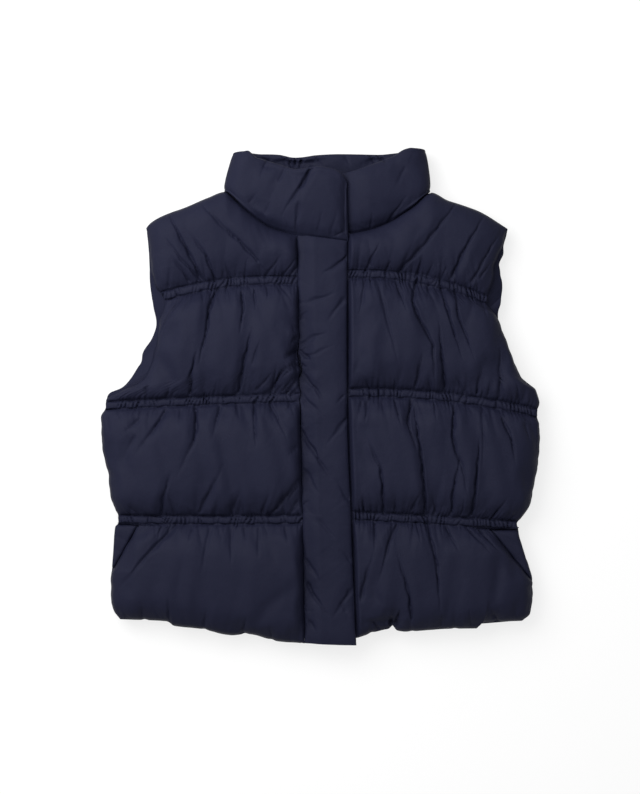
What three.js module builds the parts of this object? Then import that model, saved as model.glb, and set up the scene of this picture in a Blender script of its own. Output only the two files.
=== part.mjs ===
// A cropped padded vest with a stand collar and a covered front fastening, laid flat on its back.
// Millimetres. +X is the wearer's left side, +Y runs up to the collar, +Z is up from the table.
// The back lies on the table, both fronts lie on the back, and the storm flap lies on the fronts.
// The inside faces of all the layers meet at one height, so each padded wall has a plain inside
// and carries its quilting, gathers and folds in its outer points.

import * as THREE from 'three';

// Driving sizes
const LAYER_HEIGHT = 22;        // height of the inside faces above the table
const SEAM_GAP = 0.4;           // clearance between two pieces at a seam
const FRONT_LOFT = 24;          // padded thickness of a front, at the crown of a tier
const BACK_LOFT = 24;           // padded thickness of the back, before the table flattens it
const EDGE_THICKNESS = 4;       // wall at the side seams, shoulders, armholes and hem
const STITCH_THICKNESS = 8.5;   // wall under a row of quilting stitches
const BAND_WIDTH = 10;          // between the two stitch rows of a gathered band
const BAND_LIFT = 2.2;          // how far the band stands above its stitch rows
const BAND_RUCHE = 0.45;        // how far the band's own gathers rise and fall
const BAND_ROUNDING = 8;        // how far from its ends the band reaches its height
const GATHER_DEPTH = 3.2;       // the small gathers beside a band
const GATHER_REACH = 17;        // how far from the band they have died out to a third
const FRONT_WAVES = 11;         // gathers across a front
const BACK_WAVES = 19;          // and across the back
const UNCARVED_RISE = 9;        // folds and gathers are cut in full only where the padding rises this far
const RISE_AT_BAND = 38;        // how far from a band the tier reaches its full loft
const RISE_AT_EDGE = 34;        // the same from a side seam, an armhole or the hem
const RISE_AT_CLOSING = 15;     // the same from the storm flap
const CLOSING_THICKNESS = 8;    // of the right front beside the storm flap

const NAVY = new THREE.Color(0x23273c);
const NAVY_DARK = new THREE.Color(0x171a2a);

// Tables. Every row is a place that was measured on the garment.

// Side seam and armhole, from the shoulder tip down to the hem corner.
const RIGHT_SIDE = [
  { y: 211, x: -217 }, { y: 181, x: -213 }, { y: 159, x: -211 }, { y: 140, x: -206 },
  { y: 130, x: -199 }, { y: 121, x: -194 }, { y: 100, x: -199 }, { y: 52, x: -208 },
  { y: 31, x: -216 }, { y: 18, x: -226 }, { y: 7, x: -249 }, { y: -4, x: -267 },
  { y: -13, x: -268 }, { y: -25, x: -273 }, { y: -47, x: -273 }, { y: -102, x: -264 },
  { y: -126, x: -261 }, { y: -140, x: -256 }, { y: -148, x: -251.5 }, { y: -157, x: -251.5 },
  { y: -163, x: -256.5 }, { y: -189, x: -258.5 }, { y: -232, x: -261 }, { y: -255, x: -261 },
  { y: -267, x: -257 }, { y: -277, x: -250 },
];
const LEFT_SIDE = [
  { y: 210, x: 234 }, { y: 190, x: 228 }, { y: 163, x: 216.5 }, { y: 142, x: 214 },
  { y: 125, x: 208 }, { y: 116, x: 208 }, { y: 100, x: 220 }, { y: 72, x: 230.5 },
  { y: 45, x: 241 }, { y: 26, x: 249 }, { y: 16, x: 259 }, { y: 9, x: 268 },
  { y: -6, x: 272.5 }, { y: -17, x: 270 }, { y: -25, x: 270 }, { y: -36, x: 273 },
  { y: -60, x: 273 }, { y: -108, x: 266.5 }, { y: -136, x: 260 }, { y: -152, x: 249 },
  { y: -157, x: 245 }, { y: -165, x: 246 }, { y: -200, x: 256 }, { y: -232, x: 264 },
  { y: -256, x: 263.5 }, { y: -270, x: 261 }, { y: -279, x: 252 },
];
// The back's armholes are cut less deep, so they show past the fronts down to the underarm.
const BACK_RIGHT_ARMHOLE = [
  { y: 211, x: -217 }, { y: 176, x: -214 }, { y: 146, x: -213 }, { y: 115, x: -209 },
  { y: 92, x: -205 }, { y: 62, x: -213 }, { y: 36, x: -226 }, { y: 11, x: -246 }, { y: -4, x: -267 },
];
const BACK_LEFT_ARMHOLE = [
  { y: 210, x: 234 }, { y: 183, x: 230 }, { y: 144, x: 228 }, { y: 112, x: 226 },
  { y: 92, x: 224 }, { y: 72, x: 231 }, { y: 45, x: 241 }, { y: 26, x: 250 },
  { y: 16, x: 260 }, { y: 9, x: 269 }, { y: -6, x: 272.5 },
];

// Top edge of each front: neckline, neck point, shoulder, shoulder tip.
const RIGHT_TOP = [
  { x: -30, y: 203 }, { x: -62, y: 212 }, { x: -79, y: 223 }, { x: -106, y: 246 }, { x: -119, y: 256 },
  { x: -141, y: 248.5 }, { x: -169, y: 236.5 }, { x: -190, y: 227.5 }, { x: -217, y: 211 },
];
const LEFT_TOP = [
  { x: -20, y: 204 }, { x: 34, y: 204.5 }, { x: 60, y: 209 }, { x: 85, y: 218 }, { x: 110, y: 234 },
  { x: 139, y: 255 }, { x: 159, y: 246 }, { x: 184, y: 238.5 }, { x: 201, y: 231 }, { x: 234, y: 210 },
];
const BACK_TOP = [
  { x: -217, y: 211 }, { x: -190, y: 227.5 }, { x: -169, y: 236.5 }, { x: -141, y: 248.5 },
  { x: -119, y: 256 }, { x: -80, y: 243 }, { x: 10, y: 234 }, { x: 98, y: 243 }, { x: 139, y: 255 },
  { x: 159, y: 246 }, { x: 184, y: 238.5 }, { x: 201, y: 231 }, { x: 234, y: 210 },
];

// Hem, from the closing edge to the side.
const RIGHT_HEM = [
  { x: -20, y: -307 }, { x: -53, y: -304.5 }, { x: -92, y: -295.5 }, { x: -110, y: -297 },
  { x: -150, y: -289 }, { x: -176, y: -285 }, { x: -187, y: -281 }, { x: -204, y: -279.5 },
  { x: -250, y: -277 },
];
const LEFT_HEM = [
  { x: -10, y: -306 }, { x: 45, y: -300 }, { x: 68, y: -293 }, { x: 88, y: -287 }, { x: 107, y: -292.5 },
  { x: 130, y: -291 }, { x: 160, y: -287 }, { x: 195, y: -287 }, { x: 212, y: -281.5 }, { x: 252, y: -279 },
];
const BACK_HEM = [
  { x: -250, y: -277 }, { x: -187, y: -278 }, { x: -92, y: -292 }, { x: 0, y: -298 },
  { x: 88, y: -285 }, { x: 180, y: -284 }, { x: 252, y: -279 },
];

// Middle line of each gathered band: height at the closing edge, half way and at the side.
const RIGHT_BANDS = [
  { closing: 145, middle: 142.5, side: 125.5 },
  { closing: -1, middle: -5, side: -11 },
  { closing: -152.5, middle: -153.5, side: -152.5 },
];
const LEFT_BANDS = [
  { closing: 147, middle: 151, side: 121 },
  { closing: 3, middle: 2.5, side: -20 },
  { closing: -146, middle: -152, side: -160 },
];
const BACK_BANDS = [
  { closing: 128, middle: 142, side: 122 },
  { closing: -11, middle: 0, side: -20 },
  { closing: -152.5, middle: -148, side: -160 },
];

// The largest folds of the shell: each is a trough from its deep end (x0, y0) to where it fades (x1, y1).
const RIGHT_FOLDS = [
  { x0: -149, y0: 146, x1: -188, y1: 222, depth: 7, width: 8 },
  { x0: -133, y0: 149, x1: -157, y1: 196, depth: 6, width: 8 },
  { x0: -84, y0: 168, x1: -147, y1: 238, depth: 7, width: 9 },
  { x0: -161, y0: 142, x1: -186, y1: 174, depth: 6, width: 8 },
  { x0: -136, y0: 136, x1: -146, y1: 59, depth: 9, width: 9 },
  { x0: -171, y0: 126, x1: -192, y1: 84, depth: 5, width: 9 },
  { x0: -98, y0: 138, x1: -101, y1: 84, depth: 5, width: 9 },
  { x0: -163, y0: -2, x1: -156, y1: 49, depth: 9, width: 9 },
  { x0: -102, y0: 0, x1: -86, y1: 71, depth: 8, width: 9 },
  { x0: -58, y0: 4, x1: -30, y1: 44, depth: 7, width: 9 },
  { x0: -194, y0: -16, x1: -219, y1: -56, depth: 7, width: 9 },
  { x0: -156, y0: -12, x1: -163, y1: -66, depth: 6, width: 10 },
  { x0: -83, y0: -8, x1: -81, y1: -50, depth: 6, width: 9 },
  { x0: -197, y0: -148, x1: -188, y1: -85, depth: 8, width: 9 },
  { x0: -148, y0: -144, x1: -123, y1: -94, depth: 7, width: 9 },
  { x0: -57, y0: -145, x1: -29, y1: -106, depth: 7, width: 9 },
  { x0: -182, y0: -158, x1: -236, y1: -222, depth: 7, width: 10 },
  { x0: -111, y0: -158, x1: -111, y1: -199, depth: 4, width: 9 },
];
const LEFT_FOLDS = [
  { x0: 99, y0: 156, x1: 166, y1: 238, depth: 9, width: 10 },
  { x0: 53, y0: 154, x1: 68, y1: 184, depth: 5, width: 8 },
  { x0: 162, y0: 148, x1: 197, y1: 215, depth: 8, width: 9 },
  { x0: 187, y0: 140, x1: 216, y1: 196, depth: 6, width: 8 },
  { x0: 118, y0: 144, x1: 137, y1: 46, depth: 9, width: 10 },
  { x0: 151, y0: 139, x1: 174, y1: 65, depth: 7, width: 9 },
  { x0: 158, y0: 2, x1: 149, y1: 71, depth: 9, width: 9 },
  { x0: 221, y0: -8, x1: 223, y1: 56, depth: 7, width: 9 },
  { x0: 113, y0: -2, x1: 118, y1: -79, depth: 8, width: 9 },
  { x0: 129, y0: -146, x1: 119, y1: -30, depth: 9, width: 9 },
  { x0: 166, y0: -6, x1: 177, y1: -98, depth: 8, width: 9 },
  { x0: 224, y0: -20, x1: 239, y1: -74, depth: 7, width: 9 },
  { x0: 83, y0: -146, x1: 67, y1: -60, depth: 8, width: 9 },
  { x0: 163, y0: -148, x1: 173, y1: -73, depth: 7, width: 9 },
  { x0: 189, y0: -150, x1: 199, y1: -60, depth: 9, width: 9 },
  { x0: 94, y0: -156, x1: 77, y1: -216, depth: 7, width: 9 },
  { x0: 133, y0: -157, x1: 146, y1: -241, depth: 6, width: 9 },
  { x0: 66, y0: -204, x1: 46, y1: -254, depth: 6, width: 9 },
  { x0: 111, y0: -286, x1: 102, y1: -215, depth: 7, width: 10 },
];
const BACK_FOLDS = [
  { x0: -120, y0: 142, x1: -150, y1: 214, depth: 7, width: 12 },
  { x0: 96, y0: 142, x1: 132, y1: 212, depth: 7, width: 12 },
  { x0: -60, y0: 140, x1: -72, y1: 70, depth: 6, width: 12 },
  { x0: 70, y0: 140, x1: 84, y1: 60, depth: 7, width: 12 },
  { x0: -150, y0: -4, x1: -140, y1: 60, depth: 7, width: 12 },
  { x0: 160, y0: -4, x1: 148, y1: 66, depth: 7, width: 12 },
  { x0: -100, y0: -6, x1: -108, y1: -80, depth: 7, width: 12 },
  { x0: 24, y0: -4, x1: 30, y1: -72, depth: 6, width: 12 },
  { x0: -176, y0: -150, x1: -162, y1: -80, depth: 7, width: 12 },
  { x0: 120, y0: -150, x1: 108, y1: -78, depth: 7, width: 12 },
  { x0: -40, y0: -152, x1: -30, y1: -220, depth: 6, width: 12 },
  { x0: 186, y0: -156, x1: 206, y1: -220, depth: 6, width: 12 },
];

// Where the neckline meets the shoulders, and the height at which the armholes meet the side seams.
const NECK_POINT = { right: -119, left: 139 };
const UNDERARM = { right: -4, left: -6 };

// Pocket mouths: a front's lowest tier is cut on a slant, and the pocket's facing fills the corner.
// The facing is set back under the mouth, and stays clear of its upper and its lower end.
const RIGHT_POCKET = { top: -163, bottom: -214, mouth: -232, foot: -257 };
const LEFT_POCKET = { top: -165, bottom: -228, mouth: 211, foot: 261.5 };
const POCKET_LIP = 9;           // height of the front's rolled edge along the pocket mouth
const POCKET_FACING = { edge: 3.5, middle: 8, setBack: 1, clearTop: 1, clearFoot: 3 };

// Storm flap and the zip strip that it covers. The flap is sewn along a line that leans to the left.
const CLOSING = { top: -29.4, from: 203, lean: 0.0192 };
const FLAP_FREE_EDGE = [
  { y: 196, x: 33 }, { y: -4, x: 33 }, { y: -129, x: 37 }, { y: -254, x: 42 }, { y: -310, x: 44.4 },
];
const FLAP_TOP = { sewn: 202.3, free: 194 };
const FLAP_FOOT = { sewn: -308, free: -310.4 };
const FLAP_EDGE = 3;            // thickness at the flap's edges
const FLAP_LOFT = 9;            // and along its middle
const UNDER_FLAP = { edge: 4.2, flat: 8, reach: 16 };   // the left front's wall where the flap covers it
const COVERED_PAST_FLAP = 3;    // how far the flat part of the left front reaches past the flap's free edge
const ZIP_WIDTH = 9;

// Collar: one padded band that starts under the flap side, goes round the neck and ends over its own start.
const COLLAR_LOFT = 20;
const COLLAR_FOLD_RADIUS = 11.25;                       // of the band's middle line, at both side folds
const COLLAR_ENDS = { right: -110, left: 132 };         // outside of the two side folds, at the top edge
const COLLAR_FLARE = { right: 0.12, left: 0.06 };       // how much wider each side is at the neck seam
const COLLAR_FOLD_REACH = 26;                           // how far from a side fold its full section reaches
const COLLAR_FOLD_FILL = 0.7;                           // how far that section fills out to a block
const COLLAR_CLEARANCE = 1.1;                           // above the neckline of the left front
const COLLAR_ARCH = 13;                                 // how far the front half stands off the back half
const COLLAR_BACK_RISE = { height: 5, from: 0.6 };      // the back half's top edge stands up inside it
const COLLAR_UNDER = [                                  // the end that lies under, from its tip
  { x: -20, inside: 0.6, loft: 7 }, { x: 4, inside: 0.6, loft: 7 }, { x: 30, inside: 0.6, loft: 7.4 },
  { x: 44, inside: 0.6, loft: 14 }, { x: 58, inside: 0.6, loft: 18 }, { x: 84, inside: 0.6, loft: 20 },
];
const COLLAR_OVER = [                                   // the end that lies over, from the side fold
  { x: -66, inside: 0.6, loft: 20 }, { x: -50, inside: 1.2, loft: 19 }, { x: -38, inside: 4.4, loft: 16.5 },
  { x: -27, inside: 8.6, loft: 13.5 }, { x: 0, inside: 9, loft: 13 }, { x: 24, inside: 9, loft: 12 },
  { x: 32.6, inside: 9, loft: 6 },
];
const COLLAR_SEAM_OVER = [
  { x: -119, y: 256 }, { x: -106, y: 246 }, { x: -79, y: 223 }, { x: -62, y: 212.4 }, { x: -30, y: 203.4 },
  { x: 0, y: 199.3 }, { x: 24, y: 196 }, { x: 36, y: 195 },
];
const COLLAR_TOP_OVER = [
  { x: -110, y: 306.5 }, { x: -78, y: 298 }, { x: -37, y: 286 }, { x: -22, y: 284 }, { x: -6, y: 285 },
  { x: 18, y: 281.5 }, { x: 30, y: 272 }, { x: 34, y: 264 },
];
const COLLAR_TOP_UNDER = [
  { x: -22, y: 272 }, { x: 24, y: 277 }, { x: 69, y: 291 }, { x: 92, y: 301 }, { x: 110, y: 310.4 },
  { x: 132, y: 310.4 },
];
const COLLAR_TOP_BACK = [
  { x: -110, y: 306.5 }, { x: -79, y: 301 }, { x: -31, y: 297 }, { x: -13, y: 302.5 }, { x: 24, y: 304.5 },
  { x: 74, y: 304 }, { x: 100, y: 307 }, { x: 132, y: 310.4 },
];

// Grid steps of the walls
const TIER_STEPS = [0.06, 0.15, 0.3, 0.5, 0.7, 0.85, 0.94];
const EDGE_INSETS = [1.5, 6];   // extra columns this far in from a side edge
const FRONT_COLUMNS = 29;
const BACK_COLUMNS = 48;

const { clamp, lerp, smoothstep } = THREE.MathUtils;

// A smooth curve through a table's rows, which never swings past them (monotone cubic).
function tableCurve(rows, from, to) {
  const sorted = [...rows].sort((a, b) => a[from] - b[from]);
  const at = sorted.map((row) => row[from]);
  const value = sorted.map((row) => row[to]);
  const chord = at.slice(1).map((x, i) => (value[i + 1] - value[i]) / (x - at[i]));
  const slope = at.map((_, i) => {
    if (i === 0) return chord[0];
    if (i === at.length - 1) return chord[i - 1];
    const [before, after] = [chord[i - 1], chord[i]];
    return before * after <= 0 ? 0 : (2 * before * after) / (before + after);
  });
  return (x) => {
    if (x <= at[0]) return value[0];
    if (x >= at[at.length - 1]) return value[at.length - 1];
    const i = at.findIndex((next) => next > x) - 1;
    const step = at[i + 1] - at[i];
    const t = (x - at[i]) / step;
    const [t2, t3] = [t * t, t * t * t];
    return (2 * t3 - 3 * t2 + 1) * value[i] + (t3 - 2 * t2 + t) * step * slope[i]
      + (3 * t2 - 2 * t3) * value[i + 1] + (t3 - t2) * step * slope[i + 1];
  };
}

// A band's middle line: the parabola through its three heights.
function bandCurve({ closing, middle, side }) {
  const bend = 2 * (side - 2 * middle + closing);
  return (share) => closing + (side - closing - bend) * share + bend * share * share;
}

// How full the padding is at a distance from a seam: a quarter ellipse, 0 at the seam and 1 at the reach.
function fullness(distance, reach) {
  const t = clamp(distance / reach, 0, 1);
  return Math.sqrt(1 - (1 - t) * (1 - t));
}

// Depth of the deepest fold at a point: full at its deep end, fading along its length.
function foldDepth(folds, x, y) {
  let deepest = 0;
  for (const { x0, y0, x1, y1, depth, width } of folds) {
    const [dx, dy] = [x1 - x0, y1 - y0];
    const length = Math.hypot(dx, dy);
    const along = ((x - x0) * dx + (y - y0) * dy) / (length * length);
    const across = Math.abs((x - x0) * dy - (y - y0) * dx) / length;
    if (along < -0.15 || along > 1 || across > width) continue;
    const fade = along < 0 ? 1 + along / 0.15 : 1 - along * along;
    deepest = Math.max(deepest, depth * fade * 0.5 * (1 + Math.cos((Math.PI * across) / width)));
  }
  return deepest;
}

// Small gathers that start at a band: a wave across it, of uneven spacing, that dies out away from it.
function gatherDepth(share, distance, waves, phase) {
  const wave = Math.cos(2 * Math.PI * (waves * share + 0.35 * Math.sin(9 * share + phase)) + phase);
  const reach = GATHER_REACH * (1 + 0.35 * Math.sin(5 * Math.PI * share + 2 * phase));
  return GATHER_DEPTH * (0.5 + 0.5 * wave) * Math.exp(-distance / reach);
}

// One closed wall over a grid of outer points and a plain inside face at one height.
// outerAt(row, column) gives [x, y, z]. The inside is a ladder between the two side edges,
// with a fan at each end.
function wallSolid(rowCount, columnCount, outerAt, insideHeight) {
  const FAN_ROWS = Math.min(3, Math.floor(rowCount / 3));
  const points = [];
  const faces = [];
  const addPoint = (x, y, z) => points.push(x, y, z) / 3 - 1;
  const outer = [];
  for (let i = 0; i <= rowCount; i++) {
    outer.push([]);
    for (let j = 0; j <= columnCount; j++) outer[i].push(addPoint(...outerAt(i, j)));
  }
  for (let i = 0; i < rowCount; i++) {
    for (let j = 0; j < columnCount; j++) {
      const [a, b, c, d] = [outer[i][j], outer[i][j + 1], outer[i + 1][j + 1], outer[i + 1][j]];
      if ((i + j) % 2) faces.push([a, b, c], [a, c, d]);
      else faces.push([a, b, d], [b, c, d]);
    }
  }
  const inner = new Map();
  const inside = (i, j) => {
    const key = outer[i][j];
    if (!inner.has(key)) inner.set(key, addPoint(points[3 * key], points[3 * key + 1], insideHeight));
    return inner.get(key);
  };
  const rim = [];
  for (let j = 0; j < columnCount; j++) rim.push([0, j]);
  for (let i = 0; i < rowCount; i++) rim.push([i, columnCount]);
  for (let j = columnCount; j > 0; j--) rim.push([rowCount, j]);
  for (let i = rowCount; i > 0; i--) rim.push([i, 0]);
  rim.forEach(([i, j], n) => {
    const [k, l] = rim[(n + 1) % rim.length];
    faces.push([outer[i][j], inside(i, j), outer[k][l]], [inside(i, j), inside(k, l), outer[k][l]]);
  });
  const middle = (i) => {
    const [a, b] = [3 * inside(i, 0), 3 * inside(i, columnCount)];
    return addPoint((points[a] + points[b]) / 2, (points[a + 1] + points[b + 1]) / 2, insideHeight);
  };
  const [upper, lower] = [FAN_ROWS, rowCount - FAN_ROWS];
  const [upperMiddle, lowerMiddle] = [middle(upper), middle(lower)];
  const fan = (centre, loop) => {
    for (let n = 0; n + 1 < loop.length; n++) faces.push([centre, loop[n + 1], loop[n]]);
  };
  const upperLoop = [];
  for (let i = upper; i > 0; i--) upperLoop.push(inside(i, 0));
  for (let j = 0; j <= columnCount; j++) upperLoop.push(inside(0, j));
  for (let i = 1; i <= upper; i++) upperLoop.push(inside(i, columnCount));
  fan(upperMiddle, upperLoop);
  const lowerLoop = [];
  for (let i = lower; i < rowCount; i++) lowerLoop.push(inside(i, columnCount));
  for (let j = columnCount; j >= 0; j--) lowerLoop.push(inside(rowCount, j));
  for (let i = rowCount - 1; i >= lower; i--) lowerLoop.push(inside(i, 0));
  fan(lowerMiddle, lowerLoop);
  for (let i = upper; i < lower; i++) {
    const left = [inside(i, 0), inside(i + 1, 0)];
    const right = [inside(i, columnCount), inside(i + 1, columnCount)];
    const top = i === upper ? [left[0], upperMiddle, right[0]] : [left[0], right[0]];
    const bottom = i + 1 === lower ? [left[1], lowerMiddle, right[1]] : [left[1], right[1]];
    const last = bottom[bottom.length - 1];
    if (top.length === 3) {
      faces.push([bottom[0], top[1], top[0]], [bottom[0], last, top[1]], [last, top[2], top[1]]);
    } else {
      for (let n = 0; n + 1 < bottom.length; n++) faces.push([bottom[n], bottom[n + 1], top[0]]);
      faces.push([last, top[1], top[0]]);
    }
  }
  return closedGeometry(points, faces);
}

// A geometry from points and triangles, turned so that its faces point out.
function closedGeometry(points, faces) {
  const at = (n) => new THREE.Vector3(points[3 * n], points[3 * n + 1], points[3 * n + 2]);
  let volume = 0;
  for (const [a, b, c] of faces) volume += at(a).dot(at(b).cross(at(c)));
  const turned = volume < 0 ? faces.map(([a, b, c]) => [a, c, b]) : faces;
  const geometry = new THREE.BufferGeometry();
  geometry.setAttribute('position', new THREE.Float32BufferAttribute(points, 3));
  geometry.setIndex(turned.flat());
  geometry.computeVertexNormals();
  return geometry;
}

// The rows of a quilted panel, from its top edge to its hem. Each row knows its height across the panel,
// and how far it lies from the seams above and below it.
function quiltRows(topEdge, bands, hemEdge, pocket) {
  const rows = [];
  const curves = bands.map(bandCurve);
  const limits = [topEdge, ...curves.flatMap((curve) => [
    (share) => curve(share) + BAND_WIDTH / 2,
    (share) => curve(share) - BAND_WIDTH / 2,
  ]), hemEdge];
  for (let tier = 0; tier <= curves.length; tier++) {
    const [upper, lower] = [limits[2 * tier], limits[2 * tier + 1]];
    const hasPocket = pocket && tier === curves.length;
    const atPocket = hasPocket ? (upper(1) - pocket.bottom) / (upper(1) - lower(1)) : 0.5;
    for (const t of [0, ...TIER_STEPS.map((step) => (step === 0.5 ? atPocket : step)), 1]) {
      rows.push({
        tier,
        height: (share) => lerp(upper(share), lower(share), t),
        fromUpper: (share) => t * (upper(share) - lower(share)),
        fromLower: (share) => (1 - t) * (upper(share) - lower(share)),
      });
    }
    if (tier < curves.length) rows.push({ band: true, height: curves[tier] });
  }
  return rows;
}

// Thickness of a quilted wall at a row and a share across it, with its gathers and folds.
function quiltThickness(row, share, place, { loft, folds, waves, lastTier, phase }) {
  const { x, y, fromClosing, fromSide, closingEdge, sideEdge } = place;
  if (row.band) {
    const ruche = BAND_RUCHE * Math.cos(2 * Math.PI * waves * 1.5 * share);
    const lift = BAND_LIFT * fullness(Math.min(fromSide, fromClosing), BAND_ROUNDING);
    return STITCH_THICKNESS + Math.min(lift + ruche, BAND_LIFT);
  }
  const above = row.fromUpper(share);
  const below = row.fromLower(share);
  const upperIsEdge = row.tier === 0;
  const lowerIsEdge = row.tier === lastTier;
  const seamLevel = (isEdge) => (isEdge ? EDGE_THICKNESS : STITCH_THICKNESS);
  const base = lerp(seamLevel(upperIsEdge), seamLevel(lowerIsEdge), above / (above + below));
  const full = fullness(above, upperIsEdge ? RISE_AT_EDGE : RISE_AT_BAND)
    * fullness(below, lowerIsEdge ? RISE_AT_EDGE : RISE_AT_BAND);
  const puff = base + (loft - base) * full;
  let thickness = sideEdge + (puff - sideEdge) * fullness(fromSide, RISE_AT_EDGE);
  thickness = closingEdge + (thickness - closingEdge) * fullness(fromClosing, RISE_AT_CLOSING);
  const gathers = (upperIsEdge ? 0 : gatherDepth(share, above, waves, phase + row.tier))
    + (lowerIsEdge ? 0 : gatherDepth(share, below, waves, phase + row.tier + 2));
  const cut = (gathers + foldDepth(folds, x, y)) * smoothstep(thickness, base, base + UNCARVED_RISE);
  return Math.max(thickness - cut, Math.min(thickness, EDGE_THICKNESS));
}

// Shares of the width at which a panel has its columns, with two close ones at each free edge.
function columnShares(count, width, pivot) {
  const before = Math.round(count * pivot);
  const shares = [];
  for (let n = 0; n <= before; n++) shares.push((pivot * n) / Math.max(before, 1));
  for (let n = 1; n <= count - before; n++) shares.push(lerp(pivot, 1, n / (count - before)));
  const insets = EDGE_INSETS.flatMap((inset) => [inset / width, 1 - inset / width]);
  const kept = shares.filter((share) => share === 0 || share === 1
    || (share > 1.5 * (EDGE_INSETS[1] / width) && share < 1 - 1.5 * (EDGE_INSETS[1] / width)));
  return [...kept, ...insets].sort((a, b) => a - b);
}

const closingLine = (y) => CLOSING.top + (CLOSING.from - y) * CLOSING.lean;   // sewn edge of the storm flap
const flapFreeEdge = tableCurve(FLAP_FREE_EDGE, 'y', 'x');
const pocketLine = ({ mouth, foot, top, bottom }, y) => lerp(mouth, foot, (top - y) / (top - bottom));
const sideWithPocket = (side, pocket) => (y) => (
  y <= pocket.top && y >= pocket.bottom ? pocketLine(pocket, y) : side(y));

const rightSide = tableCurve(RIGHT_SIDE, 'y', 'x');
const leftSide = tableCurve(LEFT_SIDE, 'y', 'x');

// A front panel. The part that the flap covers, if there is one, is flat.
function frontPanel({ top, hem, bands, folds, side, pocket, closing, covered, neckPoint, phase }) {
  const outline = sideWithPocket(side, pocket);
  const topCurve = tableCurve(top, 'x', 'y');
  const hemCurve = tableCurve(hem, 'x', 'y');
  const topEnds = [closing(top[0].y), top[top.length - 1].x];
  const hemEnds = [closing(hem[0].y), hem[hem.length - 1].x];
  const topEdge = (share) => topCurve(lerp(...topEnds, share)) - SEAM_GAP;
  const hemEdge = (share) => hemCurve(lerp(...hemEnds, share));
  const rows = quiltRows(topEdge, bands, hemEdge, pocket);
  const coveredTo = (y) => (covered ? flapFreeEdge(y) + COVERED_PAST_FLAP : closing(y));
  const knotAt = (y, edge) => (coveredTo(y) - closing(y)) / (edge - closing(y));
  const coveredShares = covered ? [0, 0.3, 0.62, 0.93] : [];
  const openWidth = Math.abs(topEnds[1] - topEnds[0]);
  const topKnot = knotAt(top[0].y, topEnds[1]);
  const pivot = (Math.abs(neckPoint - topEnds[0]) / openWidth - topKnot) / (1 - topKnot);
  const openShares = columnShares(FRONT_COLUMNS, openWidth * (1 - topKnot), pivot);
  const columnCount = coveredShares.length + openShares.length - 1;
  const outerAt = (i, j) => {
    const row = rows[i];
    const edge = i === rows.length - 1 ? hemEnds[1] : outline(row.height(1));
    const knot = knotAt(row.height(0.2), edge);
    const inCovered = j < coveredShares.length;
    const share = inCovered ? knot * coveredShares[j] : lerp(knot, 1, openShares[j - coveredShares.length]);
    const y = row.height(share);
    const closingX = closing(row.height(0));
    const x = lerp(closingX, edge, share);
    const width = Math.abs(edge - closingX);
    const onPocket = y < pocket.top && y > pocket.bottom;
    const place = {
      x, y,
      fromClosing: (share - knot) * width,
      fromSide: (1 - share) * width,
      closingEdge: covered ? UNDER_FLAP.flat : CLOSING_THICKNESS,
      sideEdge: onPocket ? POCKET_LIP : EDGE_THICKNESS,
    };
    const flat = lerp(UNDER_FLAP.edge, UNDER_FLAP.flat, smoothstep(share * width, 0, UNDER_FLAP.reach));
    const thickness = inCovered ? flat : quiltThickness(row, share, place,
      { loft: FRONT_LOFT, folds, waves: FRONT_WAVES, lastTier: bands.length, phase });
    return [x, y, LAYER_HEIGHT + SEAM_GAP + thickness];
  };
  return wallSolid(rows.length - 1, columnCount, outerAt, LAYER_HEIGHT + SEAM_GAP);
}

// The back panel lies face down: its outer side is pressed flat where it rests on the table.
function backPanel() {
  const armholes = [BACK_RIGHT_ARMHOLE, BACK_LEFT_ARMHOLE].map((rows) => tableCurve(rows, 'y', 'x'));
  const right = (y) => (y > UNDERARM.right ? armholes[0](y) : rightSide(y));
  const left = (y) => (y > UNDERARM.left ? armholes[1](y) : leftSide(y));
  const topCurve = tableCurve(BACK_TOP, 'x', 'y');
  const hemCurve = tableCurve(BACK_HEM, 'x', 'y');
  const topEnds = [BACK_TOP[0].x, BACK_TOP[BACK_TOP.length - 1].x];
  const hemEnds = [BACK_HEM[0].x, BACK_HEM[BACK_HEM.length - 1].x];
  const rows = quiltRows((share) => topCurve(lerp(...topEnds, share)) - SEAM_GAP, BACK_BANDS,
    (share) => hemCurve(lerp(...hemEnds, share)));
  const topWidth = topEnds[1] - topEnds[0];
  const shares = columnShares(BACK_COLUMNS, topWidth, (NECK_POINT.right - topEnds[0]) / topWidth);
  const outerAt = (i, j) => {
    const row = rows[i];
    const ends = i === rows.length - 1 ? hemEnds : [right(row.height(0)), left(row.height(1))];
    const share = shares[j];
    const [x, y] = [lerp(...ends, share), row.height(share)];
    const width = ends[1] - ends[0];
    const place = {
      x, y, closingEdge: EDGE_THICKNESS, sideEdge: EDGE_THICKNESS,
      fromClosing: share * width * (RISE_AT_CLOSING / RISE_AT_EDGE), fromSide: (1 - share) * width,
    };
    const thickness = quiltThickness(row, share, place,
      { loft: BACK_LOFT, folds: BACK_FOLDS, waves: BACK_WAVES, lastTier: BACK_BANDS.length, phase: 0.8 });
    return [x, y, Math.max(LAYER_HEIGHT - thickness, 0)];
  };
  return wallSolid(rows.length - 1, shares.length - 1, outerAt, LAYER_HEIGHT);
}

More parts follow.
